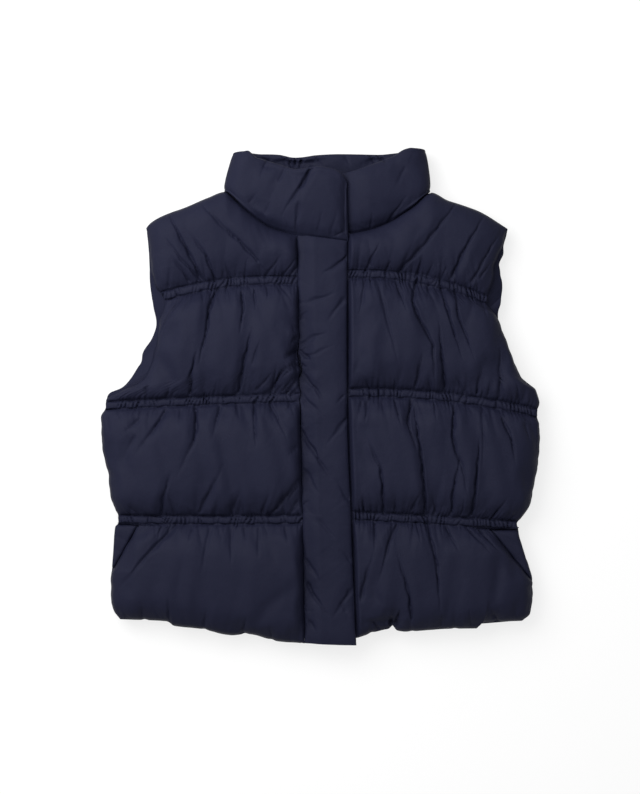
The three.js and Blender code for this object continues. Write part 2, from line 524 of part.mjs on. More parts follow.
// The pocket's facing, which shows between the slanted pocket mouth and the side seam.
// It follows the front's own edge points, so the two pieces meet without crossing.
function pocketFacing({ top, hem, bands, side, pocket }) {
  const COLUMNS = 4;
  const outward = Math.sign(pocket.mouth);
  const topSide = top[top.length - 1].y;
  const hemSide = hem[hem.length - 1].y;
  const heights = quiltRows(() => topSide, bands, () => hemSide, pocket).map((row) => row.height(1));
  const outline = sideWithPocket(side, pocket);
  const edgePoints = heights.map((y) => ({ y, x: outline(y) }));
  const mouthAt = (y) => {
    const next = edgePoints.findIndex((point) => point.y < y);
    const [a, b] = [edgePoints[next - 1], edgePoints[next]];
    return lerp(a.x, b.x, (y - a.y) / (b.y - a.y)) + outward * POCKET_FACING.setBack;
  };
  const [first, last] = [pocket.top - POCKET_FACING.clearTop, pocket.bottom + POCKET_FACING.clearFoot];
  const between = heights.filter((y) => y < first - 1 && y > last + 1);
  const stops = [first, ...between, last];
  const spots = stops.flatMap((y, n) => (n + 1 < stops.length ? [y, (y + stops[n + 1]) / 2] : [y]));
  const outerAt = (i, j) => {
    const y = spots[i];
    const mouth = mouthAt(y);
    const seam = Math.max(outward * side(y), outward * mouth + 1) * outward;
    const share = j / COLUMNS;
    const edge = Math.min(share, 1 - share) * Math.abs(seam - mouth);
    const end = Math.min(first - y, y - last);
    const thickness = lerp(POCKET_FACING.edge, POCKET_FACING.middle, fullness(edge, 8) * fullness(end, 12));
    return [lerp(mouth, seam, share), y, LAYER_HEIGHT + SEAM_GAP + thickness];
  };
  return wallSolid(spots.length - 1, COLUMNS, outerAt, LAYER_HEIGHT + SEAM_GAP);
}

// A closed tube through rings of equal length, with a flat cap on each end.
function ringSolid(rings) {
  const points = rings.flat(2);
  const size = rings[0].length;
  const faces = [];
  for (let r = 0; r + 1 < rings.length; r++) {
    for (let k = 0; k < size; k++) {
      const [a, b] = [r * size + k, r * size + ((k + 1) % size)];
      faces.push([a, b, a + size], [b, b + size, a + size]);
    }
  }
  const half = Math.floor(size / 2);
  for (const [first, flipped] of [[0, false], [(rings.length - 1) * size, true]]) {
    for (let k = 0; k < half; k++) {
      const [a, b] = [first + k, first + k + 1];
      const [c, d] = [first + size - 1 - k, first + ((2 * size - 2 - k) % size)];
      for (const corners of [[a, c, b], [b, c, d]]) {
        if (new Set(corners).size === 3) faces.push(flipped ? [corners[0], corners[2], corners[1]] : corners);
      }
    }
  }
  return closedGeometry(points, faces);
}

// The storm flap: sewn beside the right front's closing edge, and free along its other edge.
function stormFlap() {
  const ROWS = 34;
  const ACROSS = [0, 0.05, 0.16, 0.36, 0.62, 0.84, 0.95, 1];
  const rings = [];
  for (let i = 0; i <= ROWS; i++) {
    const down = i / ROWS;
    const heightAt = (share) => lerp(
      lerp(FLAP_TOP.sewn, FLAP_TOP.free, share), lerp(FLAP_FOOT.sewn, FLAP_FOOT.free, share), down);
    const sewn = closingLine(heightAt(0)) + SEAM_GAP;
    const free = flapFreeEdge(heightAt(1));
    const fromEnd = Math.min(down, 1 - down) * (FLAP_TOP.sewn - FLAP_FOOT.sewn);
    const wave = 0.8 * Math.sin(down * 19) + 0.5 * Math.sin(down * 47 + 1);
    const under = ACROSS.map((share) => {
      const x = lerp(sewn, free, share);
      const onFront = x - (sewn + ZIP_WIDTH + SEAM_GAP);
      const rest = lerp(UNDER_FLAP.edge, UNDER_FLAP.flat, smoothstep(onFront, -2, UNDER_FLAP.reach - 6));
      return [x, heightAt(share), LAYER_HEIGHT + 2 * SEAM_GAP + rest];
    });
    const over = ACROSS.map((share, n) => {
      const edge = Math.min(share, 1 - share) * (free - sewn);
      const slack = 1 + wave * 0.12 * (1 + Math.sin(3 * share + 11 * down));
      const full = fullness(edge, 15) * fullness(fromEnd + 3, 20) * slack;
      const loft = FLAP_EDGE + (FLAP_LOFT - FLAP_EDGE) * full;
      return [under[n][0], under[n][1], under[n][2] + loft];
    });
    rings.push([...under, ...over.reverse()]);
  }
  return ringSolid(rings);
}

// The zip strip between the two fronts, with its closed chain standing up along the middle.
function zipStrip() {
  const PROFILE = [
    { x: 0.4, z: 0 }, { x: 8.6, z: 0 }, { x: 8.6, z: 1.2 }, { x: 6.8, z: 1.4 },
    { x: 6.2, z: 3 }, { x: 2.8, z: 3 }, { x: 2.2, z: 1.4 }, { x: 0.4, z: 1.2 },
  ];
  const STATIONS = [198, 70, -60, -180, -300];
  return ringSolid(STATIONS.map((y) => PROFILE.map(({ x, z }) => (
    [closingLine(y) + x, y, LAYER_HEIGHT + SEAM_GAP + z]))));
}

// Where a place along the collar's top comes down to at its neck seam.
const flaredAt = (x) => x * (1 + (x < 0 ? COLLAR_FLARE.right : COLLAR_FLARE.left));

// The collar's band as seen along its seam: where its inside face is, which way out is, and how thick it is.
function collarStations() {
  const FOLD_STEPS = 8;
  const halfFolded = COLLAR_LOFT / 2 + COLLAR_FOLD_RADIUS;
  const foldInside = COLLAR_FOLD_RADIUS - COLLAR_LOFT / 2;
  const [rightFold, leftFold] = [COLLAR_ENDS.right + halfFolded, COLLAR_ENDS.left - halfFolded];
  const neckline = tableCurve(LEFT_TOP.filter(({ x }) => x <= NECK_POINT.left), 'x', 'y');
  const seamUnder = (x) => neckline(x) + COLLAR_CLEARANCE;
  const seamOver = tableCurve(COLLAR_SEAM_OVER, 'x', 'y');
  const seamBack = tableCurve(BACK_TOP, 'x', 'y');
  const stations = [];
  const archAt = (x) => {
    const fromMiddle = (x - (rightFold + leftFold) / 2) / ((leftFold - rightFold) / 2);
    return Math.cos((Math.PI / 2) * clamp(fromMiddle, -1, 1)) ** 1.2;
  };
  const add = (x, z, outward, loft, seam, top, lift) => {
    const fromFold = Math.min(x - rightFold, leftFold - x);
    const fill = COLLAR_FOLD_FILL * (1 - smoothstep(fromFold, 0, COLLAR_FOLD_REACH));
    stations.push({ x, z, outward, loft, seam, top, lift, fill });
  };
  const frontRun = (places, section, seam, topRows) => {
    const [inside, loft, top] = [
      tableCurve(section, 'x', 'inside'), tableCurve(section, 'x', 'loft'), tableCurve(topRows, 'x', 'y')];
    for (const x of places) {
      const lift = (share) => COLLAR_ARCH * archAt(x) * share;
      add(x, LAYER_HEIGHT + inside(x), [0, 1], loft(x), seam(flaredAt(x)), top(x), lift);
    }
  };
  const sideFold = (centre, start, frontSeam, top) => {
    for (let n = 0; n <= FOLD_STEPS; n++) {
      const turn = start + (Math.PI * n) / FOLD_STEPS;
      const out = [Math.sin(turn), Math.cos(turn)];
      const outermost = flaredAt(centre + (foldInside + COLLAR_LOFT) * out[0]);
      const seam = out[1] > -0.01 ? frontSeam(outermost) : seamBack(outermost);
      const [x, z] = [centre + foldInside * out[0], halfFolded + foldInside * out[1]];
      add(x, z, out, COLLAR_LOFT, seam, top, () => 0);
    }
  };
  frontRun([-20, -12, 4, 20, 30, 37, 44, 51, 58, 66, 75, 84, 93, 102],
    COLLAR_UNDER, seamUnder, COLLAR_TOP_UNDER);
  sideFold(leftFold, 0, seamUnder, COLLAR_TOP_BACK[COLLAR_TOP_BACK.length - 1].y);
  const topBack = tableCurve(COLLAR_TOP_BACK, 'x', 'y');
  for (const x of [100, 88, 76, 62, 48, 34, 20, 6, -8, -22, -36, -50, -64, -77]) {
    const rise = COLLAR_BACK_RISE.height * archAt(x);
    const lift = (share) => rise * smoothstep(share, COLLAR_BACK_RISE.from, 1);
    add(x, COLLAR_LOFT, [0, -1], COLLAR_LOFT, seamBack(flaredAt(x)), topBack(x), lift);
  }
  sideFold(rightFold, Math.PI, seamOver, COLLAR_TOP_BACK[0].y);
  frontRun([-80, -73, -66, -58, -50, -44, -38, -32, -27, -19, -10, 0, 10, 18, 24, 28.5, 31, 32.6],
    COLLAR_OVER, seamOver, COLLAR_TOP_OVER);
  return stations;
}

// The collar: a ring of points at each station, thin at the neck seam, full above it and rounded at the top
// edge. At a side fold the band is doubled over, so its section there is full down to the seam.
function collar() {
  const OUTSIDE = [
    [0, 0.32], [0.05, 0.6], [0.15, 0.88], [0.34, 1], [0.6, 1], [0.8, 0.94], [0.91, 0.8], [0.975, 0.62]];
  const INSIDE = [[1, 0.4], [0.975, 0.2], [0.9, 0.06], [0.7, 0], [0.4, 0], [0, 0]];
  const rings = collarStations().map(({ x, z, outward, loft, seam, top, lift, fill }) => (
    [...OUTSIDE, ...INSIDE].map(([share, level], n) => {
      const offset = (n < OUTSIDE.length ? lerp(level, 1, fill) : level) * loft;
      const side = x + outward[0] * offset;
      const height = z + outward[1] * offset + lift(share);
      return [lerp(flaredAt(side), side, share), lerp(seam, top, share), Math.max(height, 0)];
    })));
  return ringSolid(rings);
}

const finishes = {
  shell: new THREE.MeshStandardMaterial({ color: NAVY, roughness: 0.62, metalness: 0 }),
  facing: new THREE.MeshStandardMaterial({ color: NAVY_DARK, roughness: 0.7, metalness: 0 }),
  zip: new THREE.MeshStandardMaterial({ color: NAVY_DARK, roughness: 0.5, metalness: 0 }),
};

function piece(name, geometry, material) {
  const mesh = new THREE.Mesh(geometry, material);
  mesh.name = name;
  return mesh;
}

const rightFront = {
  top: RIGHT_TOP, hem: RIGHT_HEM, bands: RIGHT_BANDS, folds: RIGHT_FOLDS, side: rightSide,
  pocket: RIGHT_POCKET, closing: closingLine, covered: false, neckPoint: NECK_POINT.right, phase: 0.3,
};
const leftFront = {
  top: LEFT_TOP, hem: LEFT_HEM, bands: LEFT_BANDS, folds: LEFT_FOLDS, side: leftSide,
  pocket: LEFT_POCKET, closing: (y) => closingLine(y) + ZIP_WIDTH + SEAM_GAP, covered: true,
  neckPoint: NECK_POINT.left, phase: 1.1,
};

const vest = new THREE.Group();
vest.name = 'puffer_vest';
vest.add(
  piece('back', backPanel(), finishes.shell),
  piece('front_right', frontPanel(rightFront), finishes.shell),
  piece('front_left', frontPanel(leftFront), finishes.shell),
  piece('storm_flap', stormFlap(), finishes.shell),
  piece('collar', collar(), finishes.shell),
  piece('pocket_facing_right', pocketFacing(rightFront), finishes.facing),
  piece('pocket_facing_left', pocketFacing(leftFront), finishes.facing),
  piece('zip', zipStrip(), finishes.zip),
);

export default vest;
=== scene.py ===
# %% [markdown]
# # A padded vest, laid flat
# The real vest is a light woven shell and a lining with padding between them, quilted across by gathered
# bands. It lies on its back, so the back panel rests on the table and both fronts, the flap and the collar
# lie on it. Each padded piece is worked out here as a grid of points: the tables give the outline in real
# sizes and the folds in the photograph's pixels, cloth simulation then settles the shell over its padding,
# and the grid is closed with a plain inside.

# %% Load the frame
import math

import bpy
import numpy as np
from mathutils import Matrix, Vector


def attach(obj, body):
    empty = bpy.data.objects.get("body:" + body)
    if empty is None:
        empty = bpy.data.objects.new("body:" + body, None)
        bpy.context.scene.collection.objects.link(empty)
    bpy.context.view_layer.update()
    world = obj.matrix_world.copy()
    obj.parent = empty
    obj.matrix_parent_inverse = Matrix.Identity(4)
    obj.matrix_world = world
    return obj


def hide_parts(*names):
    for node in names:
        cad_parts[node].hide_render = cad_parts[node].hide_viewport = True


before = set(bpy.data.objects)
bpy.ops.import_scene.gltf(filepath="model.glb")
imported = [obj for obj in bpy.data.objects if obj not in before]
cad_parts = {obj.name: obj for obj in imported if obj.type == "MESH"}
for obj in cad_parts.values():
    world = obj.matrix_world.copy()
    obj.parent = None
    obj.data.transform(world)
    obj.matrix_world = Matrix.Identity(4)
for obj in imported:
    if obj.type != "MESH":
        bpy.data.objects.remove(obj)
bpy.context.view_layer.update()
MM = 0.001

# %% [markdown]
# ## The photograph's frame
# The vest was photographed from straight above. One pixel at the vest is 1.25 mm, and the middle of the frame
# lies over the middle of the vest. Folds are read off the photograph, so their tables are in its pixels, and
# this helper turns them into millimetres on the vest.

# %% From the photograph to the vest
PHOTO_SIZE = (640, 794)
PHOTO_CENTRE = (320.5, 397.0)
MM_PER_PIXEL = 1.25


def on_vest(pixels):
    """Millimetres on the vest for an array of pixels: across from the centre, and up instead of down."""
    spots = np.asarray(pixels, float)
    return (spots - PHOTO_CENTRE) * (MM_PER_PIXEL, -MM_PER_PIXEL)


# %% [markdown]
# ## The cut of the pieces
# The outline of every panel is a short table of places, in millimetres, with a smooth curve through them.
# They were measured along the photograph's outline at 1.25 mm a pixel, apart from those that it hides. The
# curve never swings past its rows, so a corner stays where it was measured.

# %% Curves through short tables
def smooth_curve(rows):
    """Monotone cubic through (place, value) rows: each slope is the harmonic mean of its two chords."""
    place, value = np.array(sorted(rows), float).T
    chord = np.diff(value) / np.diff(place)
    slope = np.concatenate([chord[:1], np.zeros(len(chord) - 1), chord[-1:]])
    product = chord[:-1] * chord[1:]
    total = np.where(product > 0, chord[:-1] + chord[1:], 1.0)
    slope[1:-1] = np.where(product > 0, 2 * product / total, 0.0)

    def at(x):
        x = np.clip(x, place[0], place[-1])
        i = np.clip(np.searchsorted(place, x, side="right") - 1, 0, len(chord) - 1)
        step = place[i + 1] - place[i]
        t = (x - place[i]) / step
        return ((2 * t**3 - 3 * t**2 + 1) * value[i] + (t**3 - 2 * t**2 + t) * step * slope[i]
                + (3 * t**2 - 2 * t**3) * value[i + 1] + (t**3 - t**2) * step * slope[i + 1])

    return at


def mix(a, b, share):
    """Straight blend from a to b."""
    return a + (b - a) * share


def ease(value, low, high):
    """Smooth step from 0 at low to 1 at high."""
    t = np.clip((value - low) / (high - low), 0, 1)
    return t * t * (3 - 2 * t)


def fullness(distance, reach):
    """Quarter ellipse: 0 at a seam, 1 where the padding is full."""
    t = np.clip(distance / reach, 0, 1)
    return np.sqrt(1 - (1 - t) ** 2)


# %% The outline tables, in millimetres
RIGHT_SIDE = [(211, -217), (181, -213), (159, -211), (140, -206), (130, -199), (121, -194), (100, -199),
              (52, -208), (31, -216), (18, -226), (7, -249), (-4, -267), (-13, -268), (-25, -273),
              (-47, -273), (-102, -264), (-126, -261), (-140, -256), (-148, -251.5), (-157, -251.5),
              (-163, -256.5), (-189, -258.5), (-232, -261), (-255, -261), (-267, -257), (-277, -250)]
LEFT_SIDE = [(210, 233.5), (203, 230.5), (190, 227.5), (163, 216.5), (142, 214), (125, 208), (116, 208),
             (100, 220), (72, 230.5), (45, 241), (26, 249), (16, 259), (9, 268), (-6, 272.5), (-17, 270),
             (-25, 270), (-36, 273), (-60, 273), (-108, 266.5), (-136, 260), (-152, 249), (-157, 245),
             (-165, 246), (-200, 256), (-232, 264), (-256, 263.5), (-270, 261), (-279, 252)]
BACK_RIGHT_ARMHOLE = [(211, -217), (176, -214), (146, -213), (115, -209), (92, -205), (74, -210.5),
                      (62, -218), (54, -222.5), (45, -223.5), (36, -229), (21, -239), (11, -249), (6, -261.5),
                      (1, -266), (-4, -267)]
BACK_LEFT_ARMHOLE = [(210, 234), (191, 229), (181, 228.7), (171, 225), (165, 223), (154, 224.2), (144, 227),
                     (134, 227), (119, 224.6), (101, 222), (94, 222.2), (84, 226), (72, 230.5), (45, 241),
                     (26, 250), (16, 260), (9, 269), (-6, 272.5)]
RIGHT_TOP = [(-30, 203), (-62, 212), (-79, 223), (-106, 246), (-119, 256), (-141, 248.5), (-169, 236.5),
             (-190, 229), (-205, 222), (-213, 216), (-217, 211)]
LEFT_TOP = [(-20, 204), (34, 204.5), (60, 209), (85, 218), (110, 234), (139, 255), (159, 245.5),
            (173, 241), (189, 235.5), (201, 230.5), (234, 210)]
BACK_TOP = [(-217, 211), (-213, 216), (-205, 222), (-190, 229), (-169, 236.5), (-141, 248.5), (-119, 256),
            (-80, 243), (10, 234), (98, 243), (139, 255), (159, 245.5), (173, 241), (189, 235.5),
            (201, 230.5), (234, 210)]
RIGHT_HEM = [(-20, -307), (-53, -304.5), (-92, -295.5), (-110, -297), (-150, -289), (-183, -285.2),
             (-188, -281.5), (-193, -279.5), (-250, -277)]
LEFT_HEM = [(-10, -306), (45, -300), (68, -293), (83, -289.5), (90, -288.8), (96, -291.2), (107, -292.5),
            (130, -291), (160, -289), (195, -288.5), (199, -283), (205, -281), (252, -279)]
BACK_HEM = [(-250, -277), (-187, -278), (-92, -292), (0, -298), (88, -285), (180, -284), (252, -279)]
FLAP_FREE_EDGE = [(196, 33), (-4, 33), (-129, 37), (-254, 42), (-310, 44.4)]

# Middle of each gathered band: its height at the closing edge, half way and at the side
RIGHT_BANDS = [(145, 142.5, 125.5), (-1, -5, -11), (-152.5, -153.5, -152.5)]
LEFT_BANDS = [(147, 151, 121), (3, 2.5, -20), (-146, -152, -160)]
BACK_BANDS = [(128, 142, 122), (-11, 0, -20), (-152.5, -148, -160)]

LAYER_HEIGHT = 22.0       # height of all the inside faces above the table
SEAM_GAP = 0.4            # between pieces that lie on each other
LOFT = 24.0               # padded thickness at the crown of a tier
EDGE = 4.0                # wall at a free edge
STITCH = 8.5              # wall under a row of stitches
LEAST_WALL = 2.5          # what the deepest fold leaves
COVERED_WALL = (4.2, 8.0)  # the left front under the flap: beside the zip, and further in
BAND_WIDTH = 10.0
BAND_LIFT = 1.9           # how far a band swells between its two rows
RISE_AT_BAND = 38.0       # distances from a seam to the full loft
RISE_AT_EDGE = 34.0
RISE_AT_CLOSING = 15.0    # the same from the right front's closing, and from the back's armholes
RISE_PAST_FLAP = 5.5      # and from where the left front comes out from under the flap
ZIP_WIDTH = 9.0
DRAWN_IN = 38.0           # height at which the flap's seam is puckered most
SEAM_STRAY = (0.55, 1.5)  # how far that seam strays all along, and how much more where it is drawn in
GAPES = (1.9, 0.55)       # height of the narrow and of the wide bell by which its edges stand apart

# The slanted pocket mouths: heights of their ends, and their places across at the upper and the lower end
RIGHT_POCKET = {"top": -158.5, "bottom": -214, "mouth": -226.0, "foot": -257}
LEFT_POCKET = {"top": -165, "bottom": -228, "mouth": 211, "foot": 261.5}
POCKET_LIP = 9.0          # wall along a pocket mouth
POCKET_REACH = 80.0       # the cloth is laid closer together this far in from a pocket mouth


def pocket_line(pocket, y):
    """The slanted pocket mouth."""
    return mix(pocket["mouth"], pocket["foot"], (pocket["top"] - y) / (pocket["top"] - pocket["bottom"]))


def beside_pocket(pocket, y):
    """Whether a height lies between the two ends of a pocket mouth. The back has no pocket."""
    return (y <= pocket["top"]) & (y >= pocket["bottom"]) if pocket else np.zeros(np.shape(y), bool)


def band_curve(closing, middle, side):
    """The parabola through a band's three heights, over the share of the width from 0 to 1."""
    bend = 2 * (side - 2 * middle + closing)
    return lambda share: closing + (side - closing - bend) * share + bend * share**2


def closing_line(y):
    """Sewn edge of the storm flap, which leans a little to the vest's left towards the hem."""
    return -29.4 + (203 - y) * 0.0192


def seam_wave(y):
    """How far the flap's seam strays sideways as it puckers: a wave of uneven pitch, most where it is
    drawn in."""
    drawn_in = np.exp(-(((y - DRAWN_IN) / 36) ** 2))
    wave = np.sin(y / 5.1 + 1.4 * np.sin(y / 17)) + 0.35 * np.sin(y / 2.3)
    return (SEAM_STRAY[0] + SEAM_STRAY[1] * drawn_in) * wave * (0.6 + 0.4 * np.sin(y / 29))


def gape(y):
    """How far each edge of the flap's seam stands off it: two bell curves, the narrow one where it is
    drawn in."""
    narrow = np.exp(-(((y - DRAWN_IN - 6) / 17) ** 2)) * (0.8 + 0.2 * np.sin(y / 1.9))
    return GAPES[0] * narrow + GAPES[1] * np.exp(-(((y + 20) / 42) ** 2))


flap_free_edge = smooth_curve(FLAP_FREE_EDGE)

# %% [markdown]
# ## The folds
# The shell is longer than its stitch rows, so it puckers at each band. The large folds were placed one by one
# from the photograph. Each row is one fold: its path in the photograph's pixels from its deep end to where it
# fades, its depth and its half width in millimetres. A fold is a sharp V with a soft valley round it, as thin
# nylon makes over padding, and a low lip on one side where the cloth tucks over.

# %% Folds of the fronts and the collar
# Columns: path, depth, half width
FOLDS_RIGHT = [
    # yoke
    ([(203, 281), (195, 265), (180, 235), (170, 216)], 6.0, 5.5),
    ([(200, 279), (182, 260), (170, 244)], 4.5, 5.0), ([(190, 282), (174, 259)], 3.5, 4.5),
    ([(216, 280), (207, 257), (194, 240)], 5.0, 5.0),
    ([(258, 262), (240, 242), (225, 230), (205, 207)], 5.0, 5.5), ([(245, 279), (247, 262)], 3.0, 4.0),
    ([(231, 279), (227, 266)], 3.0, 4.0), ([(265, 277), (279, 260)], 3.5, 4.0),
    ([(281, 279), (295, 261)], 4.0, 4.0),
    # under the first band
    ([(182, 299), (170, 315), (162, 334)], 4.0, 5.0),
    ([(217, 290), (210, 310), (207, 335), (203, 352)], 7.0, 6.0),
    ([(242, 294), (244, 310), (241, 328)], 5.0, 5.0), ([(255, 290), (256, 309)], 3.0, 4.0),
    ([(280, 286), (291, 299)], 3.0, 4.0), ([(202, 291), (204, 302)], 3.0, 4.0),
    ([(229, 289), (231, 303)], 2.5, 3.5), ([(267, 288), (268, 300)], 2.5, 3.5),
    # above the second band
    ([(191, 394), (192, 375), (197, 358)], 6.5, 5.5), ([(239, 392), (244, 365), (251, 338)], 7.0, 6.0),
    ([(253, 364), (260, 344)], 3.0, 4.5), ([(146, 402), (147, 384)], 3.5, 4.5),
    ([(167, 399), (170, 387)], 3.0, 4.0), ([(272, 390), (280, 375), (296, 362)], 6.5, 5.0),
    ([(257, 390), (270, 376)], 3.5, 4.5), ([(274, 383), (277, 368)], 3.0, 4.0),
    ([(286, 390), (295, 381)], 3.0, 4.0), ([(214, 397), (217, 384)], 3.0, 4.0),
    # beside the flap
    ([(297, 351), (286, 357)], 9.0, 6.0), ([(297, 346), (296, 356), (297, 374)], 5.0, 4.0),
    ([(297, 338), (290, 343)], 5.0, 4.5), ([(298, 328), (292, 331)], 4.0, 3.5),
    ([(297, 366), (284, 376)], 4.0, 3.5), ([(281, 392), (296, 377)], 4.5, 2.8),
    ([(286, 393), (297, 383)], 4.5, 2.6), ([(276, 392), (284, 384)], 3.6, 2.8),
    ([(291, 394), (298, 388)], 4.0, 2.6), ([(297, 380), (288, 391)], 4.0, 3.5),
    ([(297, 446), (289, 455)], 3.0, 4.0), ([(298, 486), (288, 499)], 4.5, 4.0),
    ([(298, 500), (291, 510)], 3.5, 3.5), ([(297, 268), (289, 277)], 4.0, 3.5),
    # under the second band
    ([(141, 420), (126, 432)], 3.5, 4.5), ([(166, 411), (155, 430), (141, 447)], 6.0, 5.5),
    ([(196, 407), (197, 425), (195, 442), (181, 464)], 6.0, 5.5), ([(221, 407), (215, 432)], 4.0, 5.0),
    ([(254, 402), (255, 422), (257, 442)], 4.5, 5.0), ([(270, 402), (279, 421), (285, 433)], 5.0, 5.0),
    ([(137, 436), (126, 456)], 3.0, 6.0), ([(182, 410), (180, 424)], 2.8, 4.0),
    ([(237, 405), (240, 418)], 2.8, 4.0), ([(289, 402), (294, 414)], 2.8, 3.6),
    # above the third band
    ([(162, 515), (164, 500), (171, 478)], 6.5, 5.5), ([(175, 513), (170, 494)], 3.5, 4.5),
    ([(200, 512), (210, 492), (221, 472)], 5.5, 5.5), ([(230, 515), (240, 493)], 3.5, 4.5),
    ([(239, 516), (241, 500)], 3.0, 4.0), ([(262, 513), (268, 497)], 3.5, 4.5),
    ([(270, 515), (287, 495), (300, 478)], 6.0, 5.0), ([(291, 513), (301, 501)], 3.0, 4.0),
    ([(140, 515), (130, 506)], 3.0, 4.0), ([(216, 516), (218, 504)], 2.6, 4.0),
    # under the third band and at the hem
    ([(176, 526), (158, 544), (143, 560), (130, 577)], 6.0, 7.4), ([(232, 527), (232, 558)], 3.0, 6.0),
    ([(259, 527), (259, 553)], 2.6, 6.0), ([(266, 527), (269, 538)], 2.6, 4.0),
    ([(211, 528), (204, 563)], 2.6, 8.0), ([(193, 527), (190, 540)], 2.6, 4.0),
    ([(245, 527), (247, 540)], 2.6, 4.0), ([(285, 526), (288, 541)], 2.6, 4.0),
    ([(170, 622), (170, 600)], 4.0, 5.0), ([(242, 633), (246, 618)], 4.0, 4.5),
    ([(205, 624), (207, 610)], 3.0, 5.0), ([(140, 620), (144, 606)], 2.6, 5.0),
    ([(272, 640), (270, 624)], 2.8, 5.0),
]
FOLDS_LEFT = [
    # yoke
    ([(399, 272), (427, 242), (442, 222), (456, 204)], 5.8, 6.0),
    ([(451, 278), (465, 247), (481, 223)], 5.6, 5.5), ([(471, 282), (485, 257), (496, 239)], 4.4, 5.0),
    ([(480, 278), (490, 263)], 3.5, 4.5), ([(364, 273), (377, 249)], 4.5, 5.0),
    ([(415, 277), (421, 262)], 3.5, 4.0), ([(440, 280), (446, 269)], 3.0, 4.0),
    ([(384, 274), (391, 261)], 2.8, 4.0), ([(427, 278), (432, 265)], 2.8, 4.0),
    # under the first band
    ([(365, 281), (360, 311)], 3.0, 6.0), ([(395, 281), (405, 308)], 4.0, 5.0),
    ([(416, 281), (412, 302), (417, 317), (432, 345), (431, 372)], 7.0, 6.0),
    ([(440, 281), (445, 307), (458, 347)], 5.5, 5.5), ([(455, 290), (457, 317), (471, 349)], 4.5, 5.0),
    ([(377, 282), (395, 353)], 3.0, 7.0), ([(429, 284), (427, 298)], 3.0, 4.0),
    ([(480, 297), (485, 316)], 3.0, 5.0),
    # above the second band
    ([(415, 386), (421, 358)], 5.0, 5.0), ([(445, 391), (442, 367), (439, 333)], 6.5, 5.5),
    ([(476, 394), (480, 370)], 4.5, 5.0), ([(499, 397), (499, 354)], 5.0, 5.5),
    ([(519, 403), (515, 384)], 3.5, 4.5), ([(464, 393), (456, 378)], 3.5, 4.5),
    ([(394, 391), (394, 379)], 3.0, 4.0), ([(371, 391), (364, 378)], 3.0, 4.0),
    ([(430, 392), (428, 380)], 2.8, 4.0), ([(487, 396), (489, 383)], 2.8, 4.0),
    # under the second band
    ([(367, 401), (365, 418)], 3.0, 4.5), ([(395, 401), (400, 423)], 4.0, 5.0),
    ([(411, 401), (407, 422), (416, 444)], 6.0, 5.0),
    ([(454, 406), (451, 435), (455, 452), (461, 467), (465, 484)], 6.5, 5.5),
    ([(481, 409), (482, 435), (481, 458)], 3.0, 7.0), ([(501, 419), (510, 440), (512, 457)], 5.5, 5.5),
    ([(434, 404), (435, 418)], 3.0, 4.0), ([(381, 401), (383, 413)], 2.6, 4.0),
    ([(524, 425), (528, 441)], 3.0, 4.5),
    # above the third band, with one that crosses the whole tier
    ([(425, 514), (423, 480), (420, 455), (414, 412)], 7.0, 5.5),
    ([(384, 512), (380, 467), (366, 445)], 6.0, 5.5), ([(451, 512), (452, 492), (458, 463)], 5.5, 5.5),
    ([(471, 514), (475, 480), (477, 450)], 7.0, 5.5), ([(411, 509), (419, 494)], 3.5, 4.5),
    ([(491, 517), (503, 501)], 4.5, 4.5), ([(364, 510), (363, 497)], 2.8, 4.0),
    ([(395, 511), (395, 497)], 3.0, 4.0), ([(436, 513), (432, 498)], 3.0, 4.0),
    ([(461, 514), (463, 500)], 2.8, 4.0),
    # under the third band and at the hem
    ([(375, 523), (374, 546)], 4.0, 5.0), ([(397, 524), (389, 540), (381, 572)], 5.5, 5.5),
    ([(416, 522), (419, 538)], 3.5, 4.5), ([(427, 522), (431, 542), (436, 565), (437, 597)], 5.5, 6.0),
    ([(445, 527), (456, 546)], 4.0, 5.0), ([(466, 527), (486, 548)], 4.5, 5.0),
    ([(476, 527), (496, 548)], 4.0, 5.0), ([(411, 617), (409, 597), (405, 582), (399, 562)], 5.6, 5.5),
    ([(360, 598), (363, 585), (371, 559)], 5.0, 6.5), ([(391, 623), (391, 616)], 9.0, 6.5),
    ([(395, 624), (399, 610)], 7.0, 5.0), ([(379, 628), (371, 619)], 4.5, 5.0),
    ([(371, 400), (370, 393), (367, 379)], 2.6, 4.0), ([(371, 393), (369, 402), (365, 418)], 3.4, 4.5),
    ([(470, 626), (468, 610)], 3.0, 5.0), ([(497, 620), (490, 608)], 4.0, 5.0),
    ([(440, 628), (441, 614)], 3.0, 5.0),
]
FOLDS_BACK = [
    ([(222, 283), (206, 250), (196, 226)], 5.0, 7.0), ([(398, 283), (412, 256), (426, 228)], 5.0, 7.0),
    ([(272, 284), (263, 341)], 5.0, 7.0), ([(377, 284), (388, 348)], 5.5, 7.0),
    ([(200, 392), (208, 350)], 5.0, 7.0), ([(450, 392), (441, 344)], 5.0, 7.0),
    ([(240, 402), (234, 461)], 5.5, 7.0), ([(340, 401), (345, 455)], 5.0, 7.0),
    ([(180, 511), (191, 461)], 5.5, 7.0), ([(416, 511), (407, 459)], 5.5, 7.0),
    ([(288, 524), (296, 573)], 5.0, 7.0), ([(469, 526), (485, 573)], 5.0, 7.0),
    ([(320, 283), (316, 262)], 4.0, 6.0), ([(474, 282), (486, 262)], 4.0, 6.0),
    ([(166, 285), (172, 303)], 4.0, 6.0), ([(428, 408), (434, 440)], 5.0, 6.0),
    ([(300, 512), (293, 480)], 4.0, 6.0), ([(232, 527), (226, 560)], 4.0, 6.0),
    ([(384, 526), (378, 556)], 4.0, 6.0), ([(520, 402), (528, 440)], 4.0, 6.0),
]
